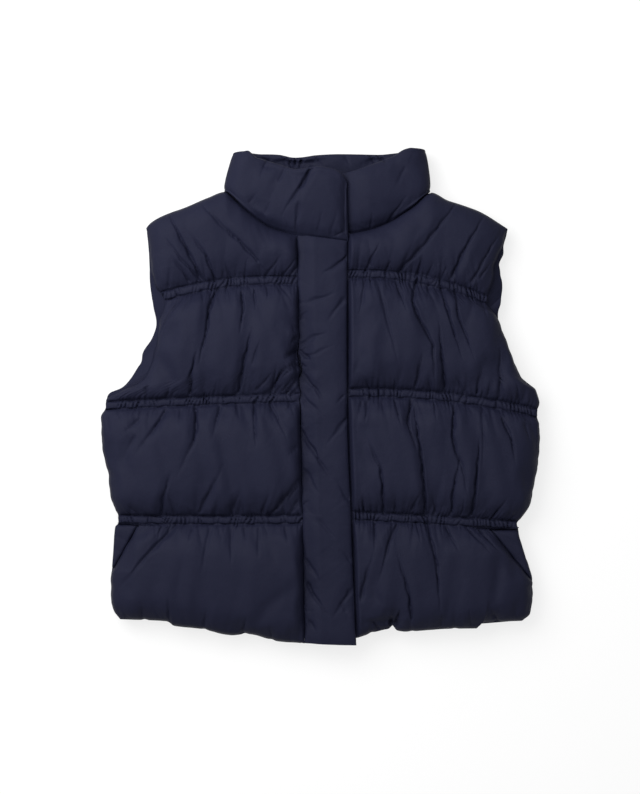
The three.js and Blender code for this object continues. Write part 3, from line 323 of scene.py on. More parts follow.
FOLDS_FLAP = [
    ([(300, 373), (309, 383), (315, 388), (320, 398)], 7.0, 6.0),
    ([(300, 431), (312, 449), (327, 472)], 6.4, 6.5), ([(307, 583), (316, 598), (325, 610)], 5.4, 6.0),
    ([(347, 257), (336, 266), (326, 272)], 4.5, 5.0), ([(300, 345), (312, 338), (323, 335)], 2.8, 9.0),
    ([(300, 351), (309, 359)], 6.0, 5.0), ([(300, 364), (306, 367)], 4.0, 4.0),
    ([(310, 302), (320, 299), (331, 295)], 2.4, 8.0), ([(318, 520), (333, 535)], 2.2, 8.0),
    ([(302, 357), (316, 354), (328, 347)], 2.0, 8.0), ([(302, 396), (322, 415)], 3.0, 8.0),
    ([(306, 560), (318, 578)], 2.8, 8.0), ([(346, 420), (330, 440)], 2.4, 9.0),
    ([(304, 470), (318, 492)], 2.4, 9.0), ([(349, 500), (338, 482)], 2.4, 8.0),
    ([(344, 300), (330, 318)], 2.4, 8.0), ([(350, 590), (336, 612)], 2.4, 8.0),
    ([(350, 560), (341, 549)], 1.8, 5.0), ([(300, 506), (309, 500)], 2.4, 4.0),
    ([(303, 402), (309, 409)], 2.0, 4.0), ([(344, 396), (337, 403)], 2.0, 4.0),
    ([(309, 620), (316, 631)], 2.4, 4.0), ([(299, 318), (307, 312)], 2.0, 4.0),
    ([(346, 610), (340, 600)], 2.0, 4.0),
]
FOLDS_COLLAR = [
    # inside the back of the collar
    ([(289, 157), (291, 168)], 7.0, 6.0), ([(297, 156), (294, 168)], 6.0, 5.0),
    ([(303, 157), (299, 169)], 6.0, 5.5), ([(283, 157), (286, 165)], 4.0, 5.0),
    ([(317, 156), (321, 166)], 4.0, 6.0), ([(262, 157), (270, 163)], 3.0, 5.0),
    ([(378, 153), (384, 163)], 7.0, 6.0), ([(371, 154), (375, 163)], 5.0, 5.0),
    ([(345, 155), (349, 164)], 2.5, 6.0),
    # front: the deep crease from the top edge, and the flap's seam running on up
    ([(312, 168), (305, 181), (296, 195), (287, 209)], 7.0, 5.5), ([(268, 160), (262, 176)], 2.0, 6.0),
    ([(404, 170), (396, 186)], 2.0, 7.0), ([(279, 182), (287, 167)], 2.0, 6.0),
    ([(299, 206), (297, 222), (297, 235)], 2.6, 8.0), ([(389, 222), (395, 213), (404, 201)], 2.5, 5.0),
    ([(345, 232), (333, 238)], 1.6, 4.0), ([(318, 234), (322, 214)], 1.2, 6.0),
    ([(266, 214), (270, 204)], 1.6, 5.0), ([(250, 204), (256, 196)], 1.6, 5.0),
    ([(405, 222), (412, 210)], 1.6, 5.0), ([(370, 228), (372, 216)], 1.6, 5.0),
    ([(331, 236), (336, 216)], 1.2, 6.0),
]
STRETCH = 1.22            # how far a fold runs on past the end of its path
VALLEY_DEPTH = 0.46       # depth of the soft valley, as a share of the fold's depth
VALLEY_WIDTH = 2.0        # width of the valley's steep side, in half widths of its V
VALLEY_SLOPE = 4.6        # the same for its gentle side
LIP = 0.22                # height of the lip beside a fold, as a share of its depth
CUT_DEPTH = 0.8           # depth of the V, as a share of the fold's depth
BLUNT = 8.0               # a fold of this half width or more is a rounded groove instead of a V
KINK = 0.6                # how far a fold strays from its path, in millimetres


def fold_relief(x, y, folds, sharp=True, soft=True):
    """Depth of the folds at every point, in millimetres, from the distance to each fold's path.
    Across a fold: the sharp part is a V with curved sides, and the soft part a bell-shaped valley, steep on
    one side and gentle on the other, less a small bell on the steep side for the lip. Along it: full near
    its deep end, then fading and narrowing to nothing."""
    total = np.zeros_like(x)
    for number, (path, depth, half_width) in enumerate(folds):
        spots = on_vest(path)
        spots[-1] += (STRETCH - 1) * (spots[-1] - spots[0])
        lengths = np.hypot(*np.diff(spots, axis=0).T)
        nearest = np.full_like(x, 1e9)
        along = np.zeros_like(x)
        side = np.zeros_like(x)
        walked = 0.0
        for (ax, ay), (bx, by), length in zip(spots[:-1], spots[1:], lengths):
            dx, dy = (bx - ax) / length, (by - ay) / length
            forward = np.clip((x - ax) * dx + (y - ay) * dy, 0, length)
            across = (x - ax) * dy - (y - ay) * dx
            distance = np.hypot(x - ax - forward * dx, y - ay - forward * dy)
            closer = distance < nearest
            nearest = np.where(closer, distance, nearest)
            along = np.where(closer, walked + forward, along)
            side = np.where(closer, np.sign(across) * distance, side)
            walked += length
        share = along / walked
        fade = ease(share, -0.12, 0.1) * (1 - ease(share, 0.2, 1.0))
        if sharp:
            phase = 2.4 * number
            strayed = side + KINK * np.sin(along / 5.2 + phase) * np.sin(along / 11.7 + 2 * phase)
            narrow = half_width * mix(0.62, 0.3, share) * (1 + 0.25 * np.sin(along / 4.1 + 3 * phase))
            inward = np.clip(1 - np.abs(strayed) / narrow, 0, 1)
            profile = np.sin(math.pi / 2 * inward) ** 2 if half_width >= BLUNT else inward ** 1.2
            total += depth * np.sqrt(fade) * CUT_DEPTH * profile
        if soft:
            steep = side * (1 if number % 3 else -1)
            reach = np.where(steep > 0, VALLEY_WIDTH, VALLEY_SLOPE) * half_width
            lip = np.exp(-(((steep - 1.6 * half_width) / half_width) ** 2))
            total += depth * fade * (VALLEY_DEPTH * np.exp(-((nearest / reach) ** 2)) - LIP * lip)
    return total


def undulation(x, y, seed):
    """Broad soft ridges down a tier, from -1 to 1: sines across it of uneven pitch that lean and drift
    along it."""
    lean = x + 9 * np.sin(y / 33 + seed) + 0.12 * y
    return (0.5 * np.sin(lean / 6.3 + 1.7 * np.sin(x / 41 + seed) + 0.6 * np.sin(y / 27))
            + 0.3 * np.sin(lean / 10.7 + 2.3 * seed) + 0.2 * np.sin(lean / 3.9 + 0.8 * np.sin(y / 15 + seed)))


# %% [markdown]
# ## Small puckers
# Between the large folds every stitch row gathers the shell into small puckers. Their places, lengths and
# depths are drawn from a seeded random stream, so that each run gives the same vest, and none is like its
# neighbour.

# %% Puckers along the stitch rows
def pucker_relief(x, distance, span, rng, spacing=9.5, depth=3.8, reach=14.0):
    """Depth of the puckers beside one stitch row. Each leans by its own slope, widens away from the row, and
    fades as exp(-distance / its reach)."""
    low, high = span
    count = int((high - low) / spacing)
    places = low + (np.arange(count) + 0.5) * (high - low) / count + rng.uniform(-0.35, 0.35, count) * spacing
    relief = np.zeros_like(x)
    leans = rng.normal(0, 0.25, count)
    strengths = rng.uniform(0.2, 1, count) ** 1.3
    lengths = rng.uniform(0.4, 1.6, count)
    for place, lean, strength, length in zip(places, leans, strengths, lengths):
        width = 1.7 + 0.14 * distance
        across = np.abs(x - place - lean * distance)
        cut = np.clip(1 - across / width, 0, 1) ** 1.3
        relief = np.maximum(relief, depth * strength * cut * np.exp(-distance / (reach * length)))
    return relief


# %% [markdown]
# ## A quilted panel as a grid
# One function lays out any of the three quilted panels. It runs down the tiers between the bands and across
# from the closing edge to the side, and gives the place and the thickness of the padded wall at each grid
# point.

# %% Lay out the grid of a quilted panel
UNDULATION = 1.8          # height of the soft ridges
END_RIDGES = 0.5          # share of them in the yoke and the lowest tier
TIER_ROWS = 30
BAND_ROWS = 6
COVERED_COLUMNS = 6


def tier_shares(count):
    """Shares down a tier from 0 to 1, a little closer together at its two stitch rows."""
    even = np.linspace(0, 1, count + 1)
    return mix(even, 0.5 - 0.5 * np.cos(np.pi * even), 0.45)


def panel_rows(top, bands, hem, share):
    """Heights of all the rows over a share of the width, with each row's distance to the seams round it."""
    curves = [band_curve(*band) for band in bands]
    limits = [top]
    for curve in curves:
        limits += [lambda s, c=curve: c(s) + BAND_WIDTH / 2, lambda s, c=curve: c(s) - BAND_WIDTH / 2]
    limits.append(hem)
    heights, tiers, shares = [], [], []
    for k in range(len(limits) - 1):
        in_band = k % 2 == 1
        steps = np.linspace(0, 1, BAND_ROWS + 1)[1:-1] if in_band else tier_shares(TIER_ROWS)
        upper, lower = limits[k](share), limits[k + 1](share)
        for t in steps:
            heights.append(mix(upper, lower, t))
            tiers.append(k)
            shares.append(t)
    return np.array(heights), np.array(tiers), np.array(shares)


def quilted_panel(spec):
    """Grid of a panel's outer points before it settles: x, y, tiers and distances from the seams."""
    closing, outline = spec["closing"], spec["outline"]
    top_curve, hem_curve = smooth_curve(spec["top"]), smooth_curve(spec["hem"])
    top_ends = (closing(spec["top"][0][1]), spec["top"][-1][0])
    hem_ends = (closing(spec["hem"][0][1]), spec["hem"][-1][0])
    width = abs(hem_ends[1] - hem_ends[0])
    open_share = np.linspace(0, 1, int(width / spec["spacing"]) + 1)
    covered = np.linspace(0, 1, COVERED_COLUMNS)[:-1] if spec["covered"] else np.zeros(0)

    def rows_at(share):
        return panel_rows(lambda s: top_curve(mix(*top_ends, s)) - SEAM_GAP, spec["bands"],
                          lambda s: hem_curve(mix(*hem_ends, s)), share)

    near, tiers, t = rows_at(np.array([0.0]))
    far = rows_at(np.array([1.0]))[0]
    row_count = len(tiers)
    closing_x = closing(near)
    edge_x = outline(far)
    edge_x[-1] = hem_ends[1]
    if spec["covered"]:
        knot = (flap_free_edge(rows_at(np.array([0.2]))[0]) + 2.4 - closing_x) / (edge_x - closing_x)
    else:
        knot = np.zeros((row_count, 1))
    share = np.hstack([knot * covered[None, :], mix(knot, 1.0, open_share[None, :])])
    # each grid point's height depends on its own share, so the rows are worked out one after the other
    y = np.vstack([rows_at(row)[0][i] for i, row in enumerate(share)])
    x = mix(closing_x, edge_x, share)
    row_width = np.abs(edge_x - closing_x)
    from_side = (1 - share) * row_width
    if spec["pocket"]:
        drawn = np.where(beside_pocket(spec["pocket"], far), edge_x - pocket_line(spec["pocket"], far), 0)
        x -= drawn * (1 - ease(from_side, 0, POCKET_REACH))
        from_side = np.abs(x[:, -1:] - x)
    x += 0.7 * np.sin(y / 4.3 + spec["seed"]) * np.sin(y / 12.7 + 2 * spec["seed"]) * np.exp(-from_side / 5)
    hem_tier = (tiers == tiers.max())[:, None]
    for place, depth in spec["notches"]:
        near_notch = np.exp(-(((x - on_vest((place, 0))[0]) / 3.4) ** 2))
        y += np.where(hem_tier, depth * near_notch * t[:, None] ** 9, 0)
    return {"x": x, "y": y, "share": share, "tier": tiers, "t": t[:, None],
            "from_closing": (share - knot) * row_width, "from_side": from_side,
            "covered_columns": len(covered)}


def quilted_thickness(grid, spec):
    """Thickness of the padded wall: quarter-ellipse rises from every seam, less the folds and puckers."""
    rng = np.random.default_rng(spec["seed"])
    last = 2 * len(spec["bands"])
    tier, t = grid["tier"], grid["t"]
    x, y = grid["x"], grid["y"]
    thickness = np.zeros_like(x)
    for k in range(last + 1):
        rows = tier == k
        if k % 2 == 1:
            crown = np.sin(np.pi * t[rows]) ** 0.7
            ends = np.minimum(fullness(grid["from_side"][rows], 8), fullness(grid["from_closing"][rows], 8))
            thickness[rows] = STITCH + BAND_LIFT * crown * ends
            continue
        height = y[rows][0] - y[rows][-1]
        above, below = t[rows] * height, (1 - t[rows]) * height
        levels = (EDGE if k == 0 else STITCH, EDGE if k == last else STITCH)
        reach = (RISE_AT_EDGE if k == 0 else RISE_AT_BAND, RISE_AT_EDGE if k == last else RISE_AT_BAND)
        base = mix(*levels, t[rows])
        full = fullness(above, reach[0]) * fullness(below, reach[1])
        wall = base + (LOFT - base) * full
        side = np.where(beside_pocket(spec["pocket"], y[rows]), POCKET_LIP, EDGE)
        wall = side + (wall - side) * fullness(grid["from_side"][rows], RISE_AT_EDGE)
        near = spec["closing_wall"]
        wall = near + (wall - near) * fullness(grid["from_closing"][rows], spec["closing_rise"])
        xs, ys = x[rows], y[rows]
        lumps = np.sin(xs / 31 + ys / 47 + spec["seed"]) * np.sin(ys / 26 - xs / 61 + k)
        ridges = UNDULATION * (END_RIDGES if k in (0, last) else 1)
        wall += (1.2 * lumps + ridges * undulation(xs, ys, spec["seed"] + k)) * full
        span = (xs.min(), xs.max())
        pucker = np.zeros_like(xs)
        if k > 0:
            pucker += pucker_relief(xs, above, span, rng)
        else:
            pucker += pucker_relief(xs, above, span, rng, spacing=19, depth=0.7, reach=12)
        if k < last:
            pucker += pucker_relief(xs, below, span, rng)
        else:
            pucker += pucker_relief(xs, below, span, rng, spacing=17, depth=2.2, reach=14)
        carved = pucker + fold_relief(xs, ys, spec["folds"], sharp=False)
        if spec["covered"]:
            carved *= ease(grid["from_closing"][rows], 1, 9)
        wall -= carved * ease(wall, base, base + 6)
        thickness[rows] = np.maximum(wall, np.minimum(base, 4.0))
    flat = grid["covered_columns"]
    if flat:
        reach = grid["share"][:, :flat] * np.abs(grid["x"][:, -1:] - grid["x"][:, :1])
        thickness[:, :flat] = mix(*COVERED_WALL, ease(reach, 0, 16))
    return thickness


# %% The three quilted panels
right_side, left_side = smooth_curve(RIGHT_SIDE), smooth_curve(LEFT_SIDE)
right_armhole, left_armhole = smooth_curve(BACK_RIGHT_ARMHOLE), smooth_curve(BACK_LEFT_ARMHOLE)


FRONT_RIGHT = {
    "name": "front_right", "top": RIGHT_TOP, "hem": RIGHT_HEM, "bands": RIGHT_BANDS, "folds": FOLDS_RIGHT,
    "closing": lambda y: closing_line(y) + seam_wave(y) - gape(y),
    "outline": right_side, "pocket": RIGHT_POCKET, "covered": False,
    "closing_wall": 9.5, "closing_rise": RISE_AT_CLOSING,
    "seed": 11, "spacing": 2.5, "notches": [(145, 1.2), (205, 1.0), (245, 1.2), (272, 1.0)],
}
FRONT_LEFT = {
    "name": "front_left", "top": LEFT_TOP, "hem": LEFT_HEM, "bands": LEFT_BANDS, "folds": FOLDS_LEFT,
    "closing": lambda y: closing_line(y) + ZIP_WIDTH + SEAM_GAP, "outline": left_side, "pocket": LEFT_POCKET,
    "covered": True, "closing_wall": COVERED_WALL[1], "closing_rise": RISE_PAST_FLAP,
    "seed": 23, "spacing": 2.5, "notches": [(371, 1.2), (392.6, 4.0), (412, 0.8), (455, 0.8), (497, 1.4)],
}


def back_right_edge(y):
    """The back's right outline: its armhole down to the underarm, then the side seam."""
    return np.where(y > -4, right_armhole(y), right_side(y))


def back_left_edge(y):
    """The back's left outline, in the same way."""
    return np.where(y > -6, left_armhole(y), left_side(y))


BACK = {
    "name": "back", "top": BACK_TOP, "hem": BACK_HEM, "bands": BACK_BANDS, "folds": FOLDS_BACK,
    "closing": back_right_edge, "outline": back_left_edge, "covered": False, "closing_wall": EDGE,
    "closing_rise": RISE_AT_CLOSING, "pocket": None, "seed": 37, "spacing": 3.4,
    "notches": [],
}

# %% [markdown]
# ## From a grid to a sewn piece
# The outer grid is one cloth sheet. After it has settled it is made twice as fine with a smooth curve through
# its points, gets a rounded rim, and is closed by one plain inside face, as a shell sewn to its lining is.

# %% Meshes from grids
def grid_faces(rows, columns, flip=False, offset=0):
    """Quads of a grid of rows by columns points."""
    index = offset + np.arange(rows * columns).reshape(rows, columns)
    quads = np.stack([index[:-1, :-1], index[1:, :-1], index[1:, 1:], index[:-1, 1:]], axis=-1).reshape(-1, 4)
    return quads[:, ::-1] if flip else quads


def refine(points):
    """Twice as many steps along the first axis: each new point is (-1, 9, 9, -1) / 16 of its four
    neighbours."""
    padded = np.concatenate([2 * points[:1] - points[1:2], points, 2 * points[-1:] - points[-2:-1]])
    between = (9 * (padded[1:-2] + padded[2:-1]) - padded[:-3] - padded[3:]) / 16
    fine = np.empty((2 * len(points) - 1,) + points.shape[1:])
    fine[::2] = points
    fine[1::2] = between
    return fine


def refine_grid(points):
    """A grid refined both ways."""
    return refine(refine(points).swapaxes(0, 1)).swapaxes(0, 1)


def new_object(name, points, faces):
    """A smooth-shaded mesh object from points in millimetres and lists of faces."""
    mesh = bpy.data.meshes.new(name)
    mesh.from_pydata(np.asarray(points, float) * MM, [], [list(map(int, face)) for face in faces])
    mesh.update()
    mesh.shade_smooth()
    obj = bpy.data.objects.new(name, mesh)
    bpy.context.scene.collection.objects.link(obj)
    return obj


def read_points(mesh):
    """A mesh's points in millimetres."""
    flat = np.empty(len(mesh.vertices) * 3, np.float32)
    mesh.vertices.foreach_get("co", flat)
    return flat.reshape(-1, 3).astype(float) / MM


# %% [markdown]
# ## Settling the cloth
# A padded shell looks soft because its cloth is larger than the padding and buckles where it is sewn down.
# Each outer sheet is pinned at its seams and stitch rows, swells a little under pressure with cloth that is a
# few per cent too large, and buckles for 20 steps. The movement is capped, so that the piece keeps its
# measured form.

# %% Cloth simulation for all the sheets at once
SETTLE_STEPS = 20


def calmed(move):
    """A field of movements with its finest buckles taken out: (1, 2, 1) / 4 along and across, twice."""
    for turn in range(4):
        padded = np.concatenate([move[:1], move, move[-1:]])
        move = ((padded[:-2] + 2 * padded[1:-1] + padded[2:]) / 4).swapaxes(0, 1)
    return move


def settle(sheets):
    """Simulate sheets together and return their settled points. A sheet is its points, its faces, how free
    each point is, and how its cloth swells, presses and bends, with the cap on its movement."""
    scene = bpy.context.scene
    made = []
    for sheet in sheets:
        obj = new_object("sheet", sheet["points"].reshape(-1, 3), sheet["faces"])
        pins = obj.vertex_groups.new(name="pins")
        weight = 1 - sheet["free"].ravel()
        for level in np.unique(weight.round(2)):
            chosen = np.flatnonzero(weight.round(2) == level)
            pins.add(chosen.tolist(), float(level), "REPLACE")
        cloth = obj.modifiers.new("cloth", "CLOTH")
        cloth.settings.vertex_group_mass = "pins"
        cloth.settings.quality = 6
        cloth.settings.mass = 0.15
        cloth.settings.tension_stiffness = 12
        cloth.settings.compression_stiffness = 12
        cloth.settings.shear_stiffness = 4
        cloth.settings.bending_stiffness = sheet["bending"]
        cloth.settings.shrink_min = -sheet["swell"]
        cloth.settings.use_pressure = True
        cloth.settings.uniform_pressure_force = sheet["pressure"]
        cloth.settings.effector_weights.gravity = 0
        cloth.collision_settings.use_collision = False
        cloth.point_cache.frame_start = 1
        cloth.point_cache.frame_end = SETTLE_STEPS
        made.append((obj, sheet))
    for step in range(1, SETTLE_STEPS + 1):
        scene.frame_set(step)
    depsgraph = bpy.context.evaluated_depsgraph_get()
    settled = []
    for obj, sheet in made:
        points = read_points(obj.evaluated_get(depsgraph).data).reshape(sheet["points"].shape)
        move = calmed(points - sheet["points"])
        length = np.linalg.norm(move, axis=-1, keepdims=True)
        cap = sheet["cap"]
        move *= sheet["lively"] * cap * np.tanh(length / cap) / np.maximum(length, 1e-6)
        print("settled", obj.name, "mean move %.2f mm, most %.2f mm" % (length.mean(), length.max()))
        settled.append(sheet["points"] + move)
        bpy.data.objects.remove(obj, do_unlink=True)
    scene.frame_set(1)
    return settled


# %% Outer sheets of the quilted panels
PIN_RAMP = 5.0            # cloth within this distance of a seam moves less
YOKE_MOVEMENT = 0.5       # the yoke is pulled taut by the shoulders, so it buckles less


def outer_sheet(spec, facing_up=True):
    """The outer sheet of a quilted panel with its pins: seams, bands and what the flap covers stay put."""
    grid = quilted_panel(spec)
    thickness = quilted_thickness(grid, spec)
    if facing_up:
        z = LAYER_HEIGHT + SEAM_GAP + thickness
    else:
        z = np.maximum(LAYER_HEIGHT - thickness, 0)
    points = np.dstack([grid["x"], grid["y"], z])
    rows = grid["tier"]
    in_tier = (rows % 2 == 0)[:, None]
    free = np.where(in_tier, 1.0, 0.0) * np.ones_like(z)
    for k in np.unique(rows[rows % 2 == 0]):
        part = rows == k
        ys = grid["y"][part]
        free[part] *= ease(np.minimum(ys[:1] - ys, ys - ys[-1:]), 0, PIN_RAMP)
    closing_ramp = 4 * PIN_RAMP if spec["covered"] else PIN_RAMP
    free *= ease(grid["from_side"], 0, PIN_RAMP) * ease(grid["from_closing"], 0, closing_ramp)
    flip = (points[0, -1, 0] > points[0, 0, 0]) != facing_up
    return {"points": points, "free": free, "flip": flip, "faces": grid_faces(*points.shape[:2], flip),
            "swell": 0.035, "pressure": 1.5, "bending": 0.08, "cap": 5.0, "grid": grid, "spec": spec,
            "lively": np.where(rows == 0, YOKE_MOVEMENT, 1.0)[:, None, None]}


panel_sheets = [outer_sheet(FRONT_RIGHT), outer_sheet(FRONT_LEFT), outer_sheet(BACK, facing_up=False)]
print("grids", [sheet["points"].shape for sheet in panel_sheets])

# %% [markdown]
# ## The collar
# One padded band goes from its end under the flap side, round the neck and back over its own start. It lies
# flattened, so it turns in a tight fold at both sides. It is a ring of points carried along that path: thin
# at the neck seam, full above it and rounded at its top edge.

# %% The collar's path and section
COLLAR_LOFT = 20.0
FOLD_RADIUS = 11.25
COLLAR_ENDS = (-110, 132)
FLARE_RIGHT, FLARE_LEFT = 0.12, 0.06     # how much wider each side is at the neck seam
FOLD_REACH = 26.0         # how far from a side fold its full section reaches
FOLD_FILL = 0.7           # how far that section fills out to a block
CLEARANCE = 1.1           # above the neckline of the left front
ARCH = 13.0               # how far the front half stands off the back half
BACK_RISE = 5.0           # how far the back half's top edge stands up inside it
UNDER_SECTION = [(-20, 0.6, 7), (4, 0.6, 7), (30, 0.6, 7.4), (44, 0.6, 14), (58, 0.6, 18), (84, 0.6, 20)]
OVER_SECTION = [(-66, 0.6, 20), (-50, 1.2, 19), (-38, 4.4, 16.5), (-27, 8.6, 13.5), (0, 9, 13), (24, 9, 12),
                (32.6, 9, 6)]
SEAM_OVER = [(-119, 256), (-106, 246), (-79, 223), (-62, 212.4), (-30, 203.4), (0, 199.3), (24, 196),
             (36, 195)]
TOP_OVER = [(-110, 306.5), (-78, 298), (-42, 286), (-30, 282), (-20, 283), (-6, 285.5), (18, 281.5),
            (30, 272), (34, 264)]
TOP_UNDER = [(-22, 272), (24, 277), (69, 291), (92, 301), (110, 310.4), (132, 310.4)]
TOP_BACK = [(-110, 306.5), (-92, 306), (-79, 305), (-62, 304.6), (-44, 303), (-31, 299.5), (-13, 302.5),
            (24, 304.5), (74, 304), (100, 307), (132, 310.4)]
OUTSIDE = [(0, 0.32), (0.05, 0.6), (0.15, 0.88), (0.34, 1), (0.6, 1), (0.8, 0.94), (0.91, 0.8), (0.975, 0.62)]
INSIDE = [(1, 0.4), (0.975, 0.2), (0.9, 0.06), (0.7, 0), (0.4, 0), (0, 0)]
UNDER_STATIONS = (-20, -12, 4, 20, 30, 37, 44, 51, 58, 66, 75, 84, 93, 102)
BACK_STATIONS = (100, 88, 76, 62, 48, 34, 20, 6, -8, -22, -36, -50, -64, -77)
OVER_STATIONS = (-80, -73, -66, -58, -50, -44, -38, -32, -27, -19, -10, 0, 10, 18, 24, 28.5, 31, 32.6)
FOLD_STEPS = 8


def flared(x):
    """Where a place along the collar's top comes down to at its neck seam."""
    return x * (1 + np.where(x < 0, FLARE_RIGHT, FLARE_LEFT))


def arch_at(x):
    """How much of the arch a place along the collar has: a cosine from fold to fold."""
    middle = (COLLAR_ENDS[0] + COLLAR_ENDS[1]) / 2
    half = (COLLAR_ENDS[1] - COLLAR_ENDS[0]) / 2 - COLLAR_LOFT / 2 - FOLD_RADIUS
    return np.cos(math.pi / 2 * np.clip((x - middle) / half, -1, 1)) ** 1.2


def front_run(stations, section, seam_rows, top_rows):
    """Stations of one front end: path place, way out, loft, seam height, top height and arch."""
    x = np.array(stations, float)
    inside = smooth_curve([(row[0], row[1]) for row in section])(x)
    loft = smooth_curve([(row[0], row[2]) for row in section])(x)
    ones = np.ones_like(x)
    seam = smooth_curve(seam_rows)(flared(x))
    top = smooth_curve(top_rows)(x)
    return np.stack([x, LAYER_HEIGHT + inside, 0 * ones, ones, loft, seam, top, arch_at(x)], axis=1)


def side_fold(centre, start, front_seam, top):
    """Stations round a side fold: half a turn about its centre. The seam is the front's on the upper half of
    the turn and the back's neckline on the lower half."""
    turn = start + np.linspace(0, math.pi, FOLD_STEPS + 1)
    out_x, out_z = np.sin(turn), np.cos(turn)
    radius = FOLD_RADIUS - COLLAR_LOFT / 2
    ones = np.ones_like(turn)
    outermost = flared(centre + (radius + COLLAR_LOFT) * out_x)
    seam = np.where(out_z > -0.01, smooth_curve(front_seam)(outermost), smooth_curve(BACK_TOP)(outermost))
    height = COLLAR_LOFT / 2 + FOLD_RADIUS + radius * out_z
    return np.stack([centre + radius * out_x, height, out_x, out_z, COLLAR_LOFT * ones, seam, top * ones,
                     0 * ones], axis=1)


def collar_rings():
    """All the collar's rings: each point is its station moved out by its level, and up by the arch."""
    left_seam = [(x, y + CLEARANCE) for x, y in LEFT_TOP if x < 140]
    under = front_run(UNDER_STATIONS, UNDER_SECTION, left_seam, TOP_UNDER)
    over = front_run(OVER_STATIONS, OVER_SECTION, SEAM_OVER, TOP_OVER)
    x = np.array(BACK_STATIONS, float)
    ones = np.ones_like(x)
    back = np.stack([x, COLLAR_LOFT * ones, 0 * ones, -ones, COLLAR_LOFT * ones,
                     smooth_curve(BACK_TOP)(flared(x)), smooth_curve(TOP_BACK)(x), arch_at(x)], axis=1)
    inset = COLLAR_LOFT / 2 + FOLD_RADIUS
    left_fold, right_fold = COLLAR_ENDS[1] - inset, COLLAR_ENDS[0] + inset
    left = side_fold(left_fold, 0, left_seam, TOP_BACK[-1][1])
    right = side_fold(right_fold, math.pi, SEAM_OVER, TOP_BACK[0][1])
    stations = np.concatenate([under, left, back, right, over])
    x, z, out_x, out_z, loft, seam, top, arch = stations.T[:, :, None]
    share, level = np.array(OUTSIDE + INSIDE).T[:, None, :]
    beyond = (x < right_fold) | (x > left_fold)
    near_fold = np.minimum(np.abs(x - right_fold), np.abs(x - left_fold))
    fill = FOLD_FILL * np.where(beyond, 1, 1 - ease(near_fold, 0, FOLD_REACH))
    outside = np.arange(share.shape[1]) < len(OUTSIDE)
    level = np.where(outside, mix(level, 1, fill), level)
    side = x + out_x * level * loft
    lift = arch * np.where(out_z > 0, ARCH * share, BACK_RISE * ease(share, 0.6, 1))
    return np.dstack([mix(flared(side), side, share), mix(seam, top, share),
                      np.maximum(z + out_z * level * loft + lift, 0)])


def refine_tube(rings):
    """A tube of closed rings refined along and around."""
    along = refine(rings)
    turned = along.swapaxes(0, 1)
    before, after = np.roll(turned, 1, axis=0), np.roll(turned, -1, axis=0)
    between = (9 * (turned + after) - before - np.roll(turned, -2, axis=0)) / 16
    fine = np.empty((2 * len(turned),) + turned.shape[1:])
    fine[::2], fine[1::2] = turned, between
    return fine.swapaxes(0, 1)


def tube_normals(rings):
    """Outward normals of a tube's points, from the cross product of its two directions."""
    along = np.gradient(rings, axis=0)
    around = np.roll(rings, -1, axis=1) - np.roll(rings, 1, axis=1)
    normal = np.cross(around, along)
    normal /= np.maximum(np.linalg.norm(normal, axis=-1, keepdims=True), 1e-6)
    away = rings - rings.mean(axis=1, keepdims=True)
    return normal * np.sign(np.mean(np.sum(normal * away, axis=-1)))


def tube_faces(rows, size, flip):
    """Quads of a tube, with one face on each end."""
    index = np.arange(rows * size).reshape(rows, size)
    beside = np.roll(index, -1, axis=1)
    quads = np.stack([index[:-1], beside[:-1], beside[1:], index[1:]], axis=-1).reshape(-1, 4)
    quads = quads[:, ::-1] if flip else quads
    ends = [index[0][::-1].tolist(), index[-1].tolist()]
    return quads.tolist() + [end[::-1] if flip else end for end in ends]


def turned_inward(rings):
    """Whether a tube's quads, in the order that tube_faces gives, face into it."""
    along = rings[1:, :] - rings[:-1, :]
    around = np.roll(rings, -1, axis=1) - rings
    normal = np.cross(around[:-1], along)
    away = rings - rings.mean(axis=1, keepdims=True)
    return np.sum(normal * away[:-1]) < 0


COLLAR_PUCKER_SPACING = 11.0
COLLAR_SPAN = (-120, 140)
rng = np.random.default_rng(5)
collar_grid = refine_tube(refine_tube(collar_rings()))
normals = tube_normals(collar_grid)
x, y = collar_grid[:, :, 0], collar_grid[:, :, 1]
facing_up = ease(normals[:, :, 2], 0.05, 0.5)
seam_distance = np.maximum(y - y.min(axis=1, keepdims=True), 0)
top_distance = np.maximum(y.max(axis=1, keepdims=True) - y, 0)
relief = fold_relief(x, y, FOLDS_COLLAR, sharp=False) * facing_up
relief += pucker_relief(x, seam_distance, COLLAR_SPAN, rng, COLLAR_PUCKER_SPACING, 1.5, 9)
relief += pucker_relief(x, top_distance, COLLAR_SPAN, rng, 17, 0.8, 7)
wide = ease(np.minimum(seam_distance, top_distance), 1, 9)
collar_grid -= normals * (relief * wide)[:, :, None]
collar_sheet = {"points": collar_grid,
                "faces": tube_faces(*collar_grid.shape[:2], turned_inward(collar_grid)),
                "free": wide * ease(np.abs(collar_grid[:, :, 2] - 21), 1.5, 5) * np.ones_like(x),
                "swell": 0.03, "pressure": 1.5, "bending": 0.1, "cap": 4.0, "lively": 0.65}
print("collar", collar_grid.shape)

# %% [markdown]
# ## The storm flap
# A flat padded strip, sewn to the right front beside its closing edge and free on the other side. It lies
# over the left front, so its underside follows that front's covered edge. Its few folds are shallow and
# slanted.

# %% The flap's rings
FLAP_ROWS = 100
FLAP_TOP = (202.3, 194.0)
FLAP_FOOT = (-306.6, -309.0)
FLAP_SPAN = (-308, 200)
FLAP_LOFT = 9.0
FLAP_WALL = (2.4, 1.6)    # what the soft and the sharp part of a fold leave of it
FLAP_ACROSS = np.array([0, 0.05, 0.13, 0.22, 0.32, 0.42, 0.52, 0.62, 0.72, 0.82, 0.9, 0.96, 1])


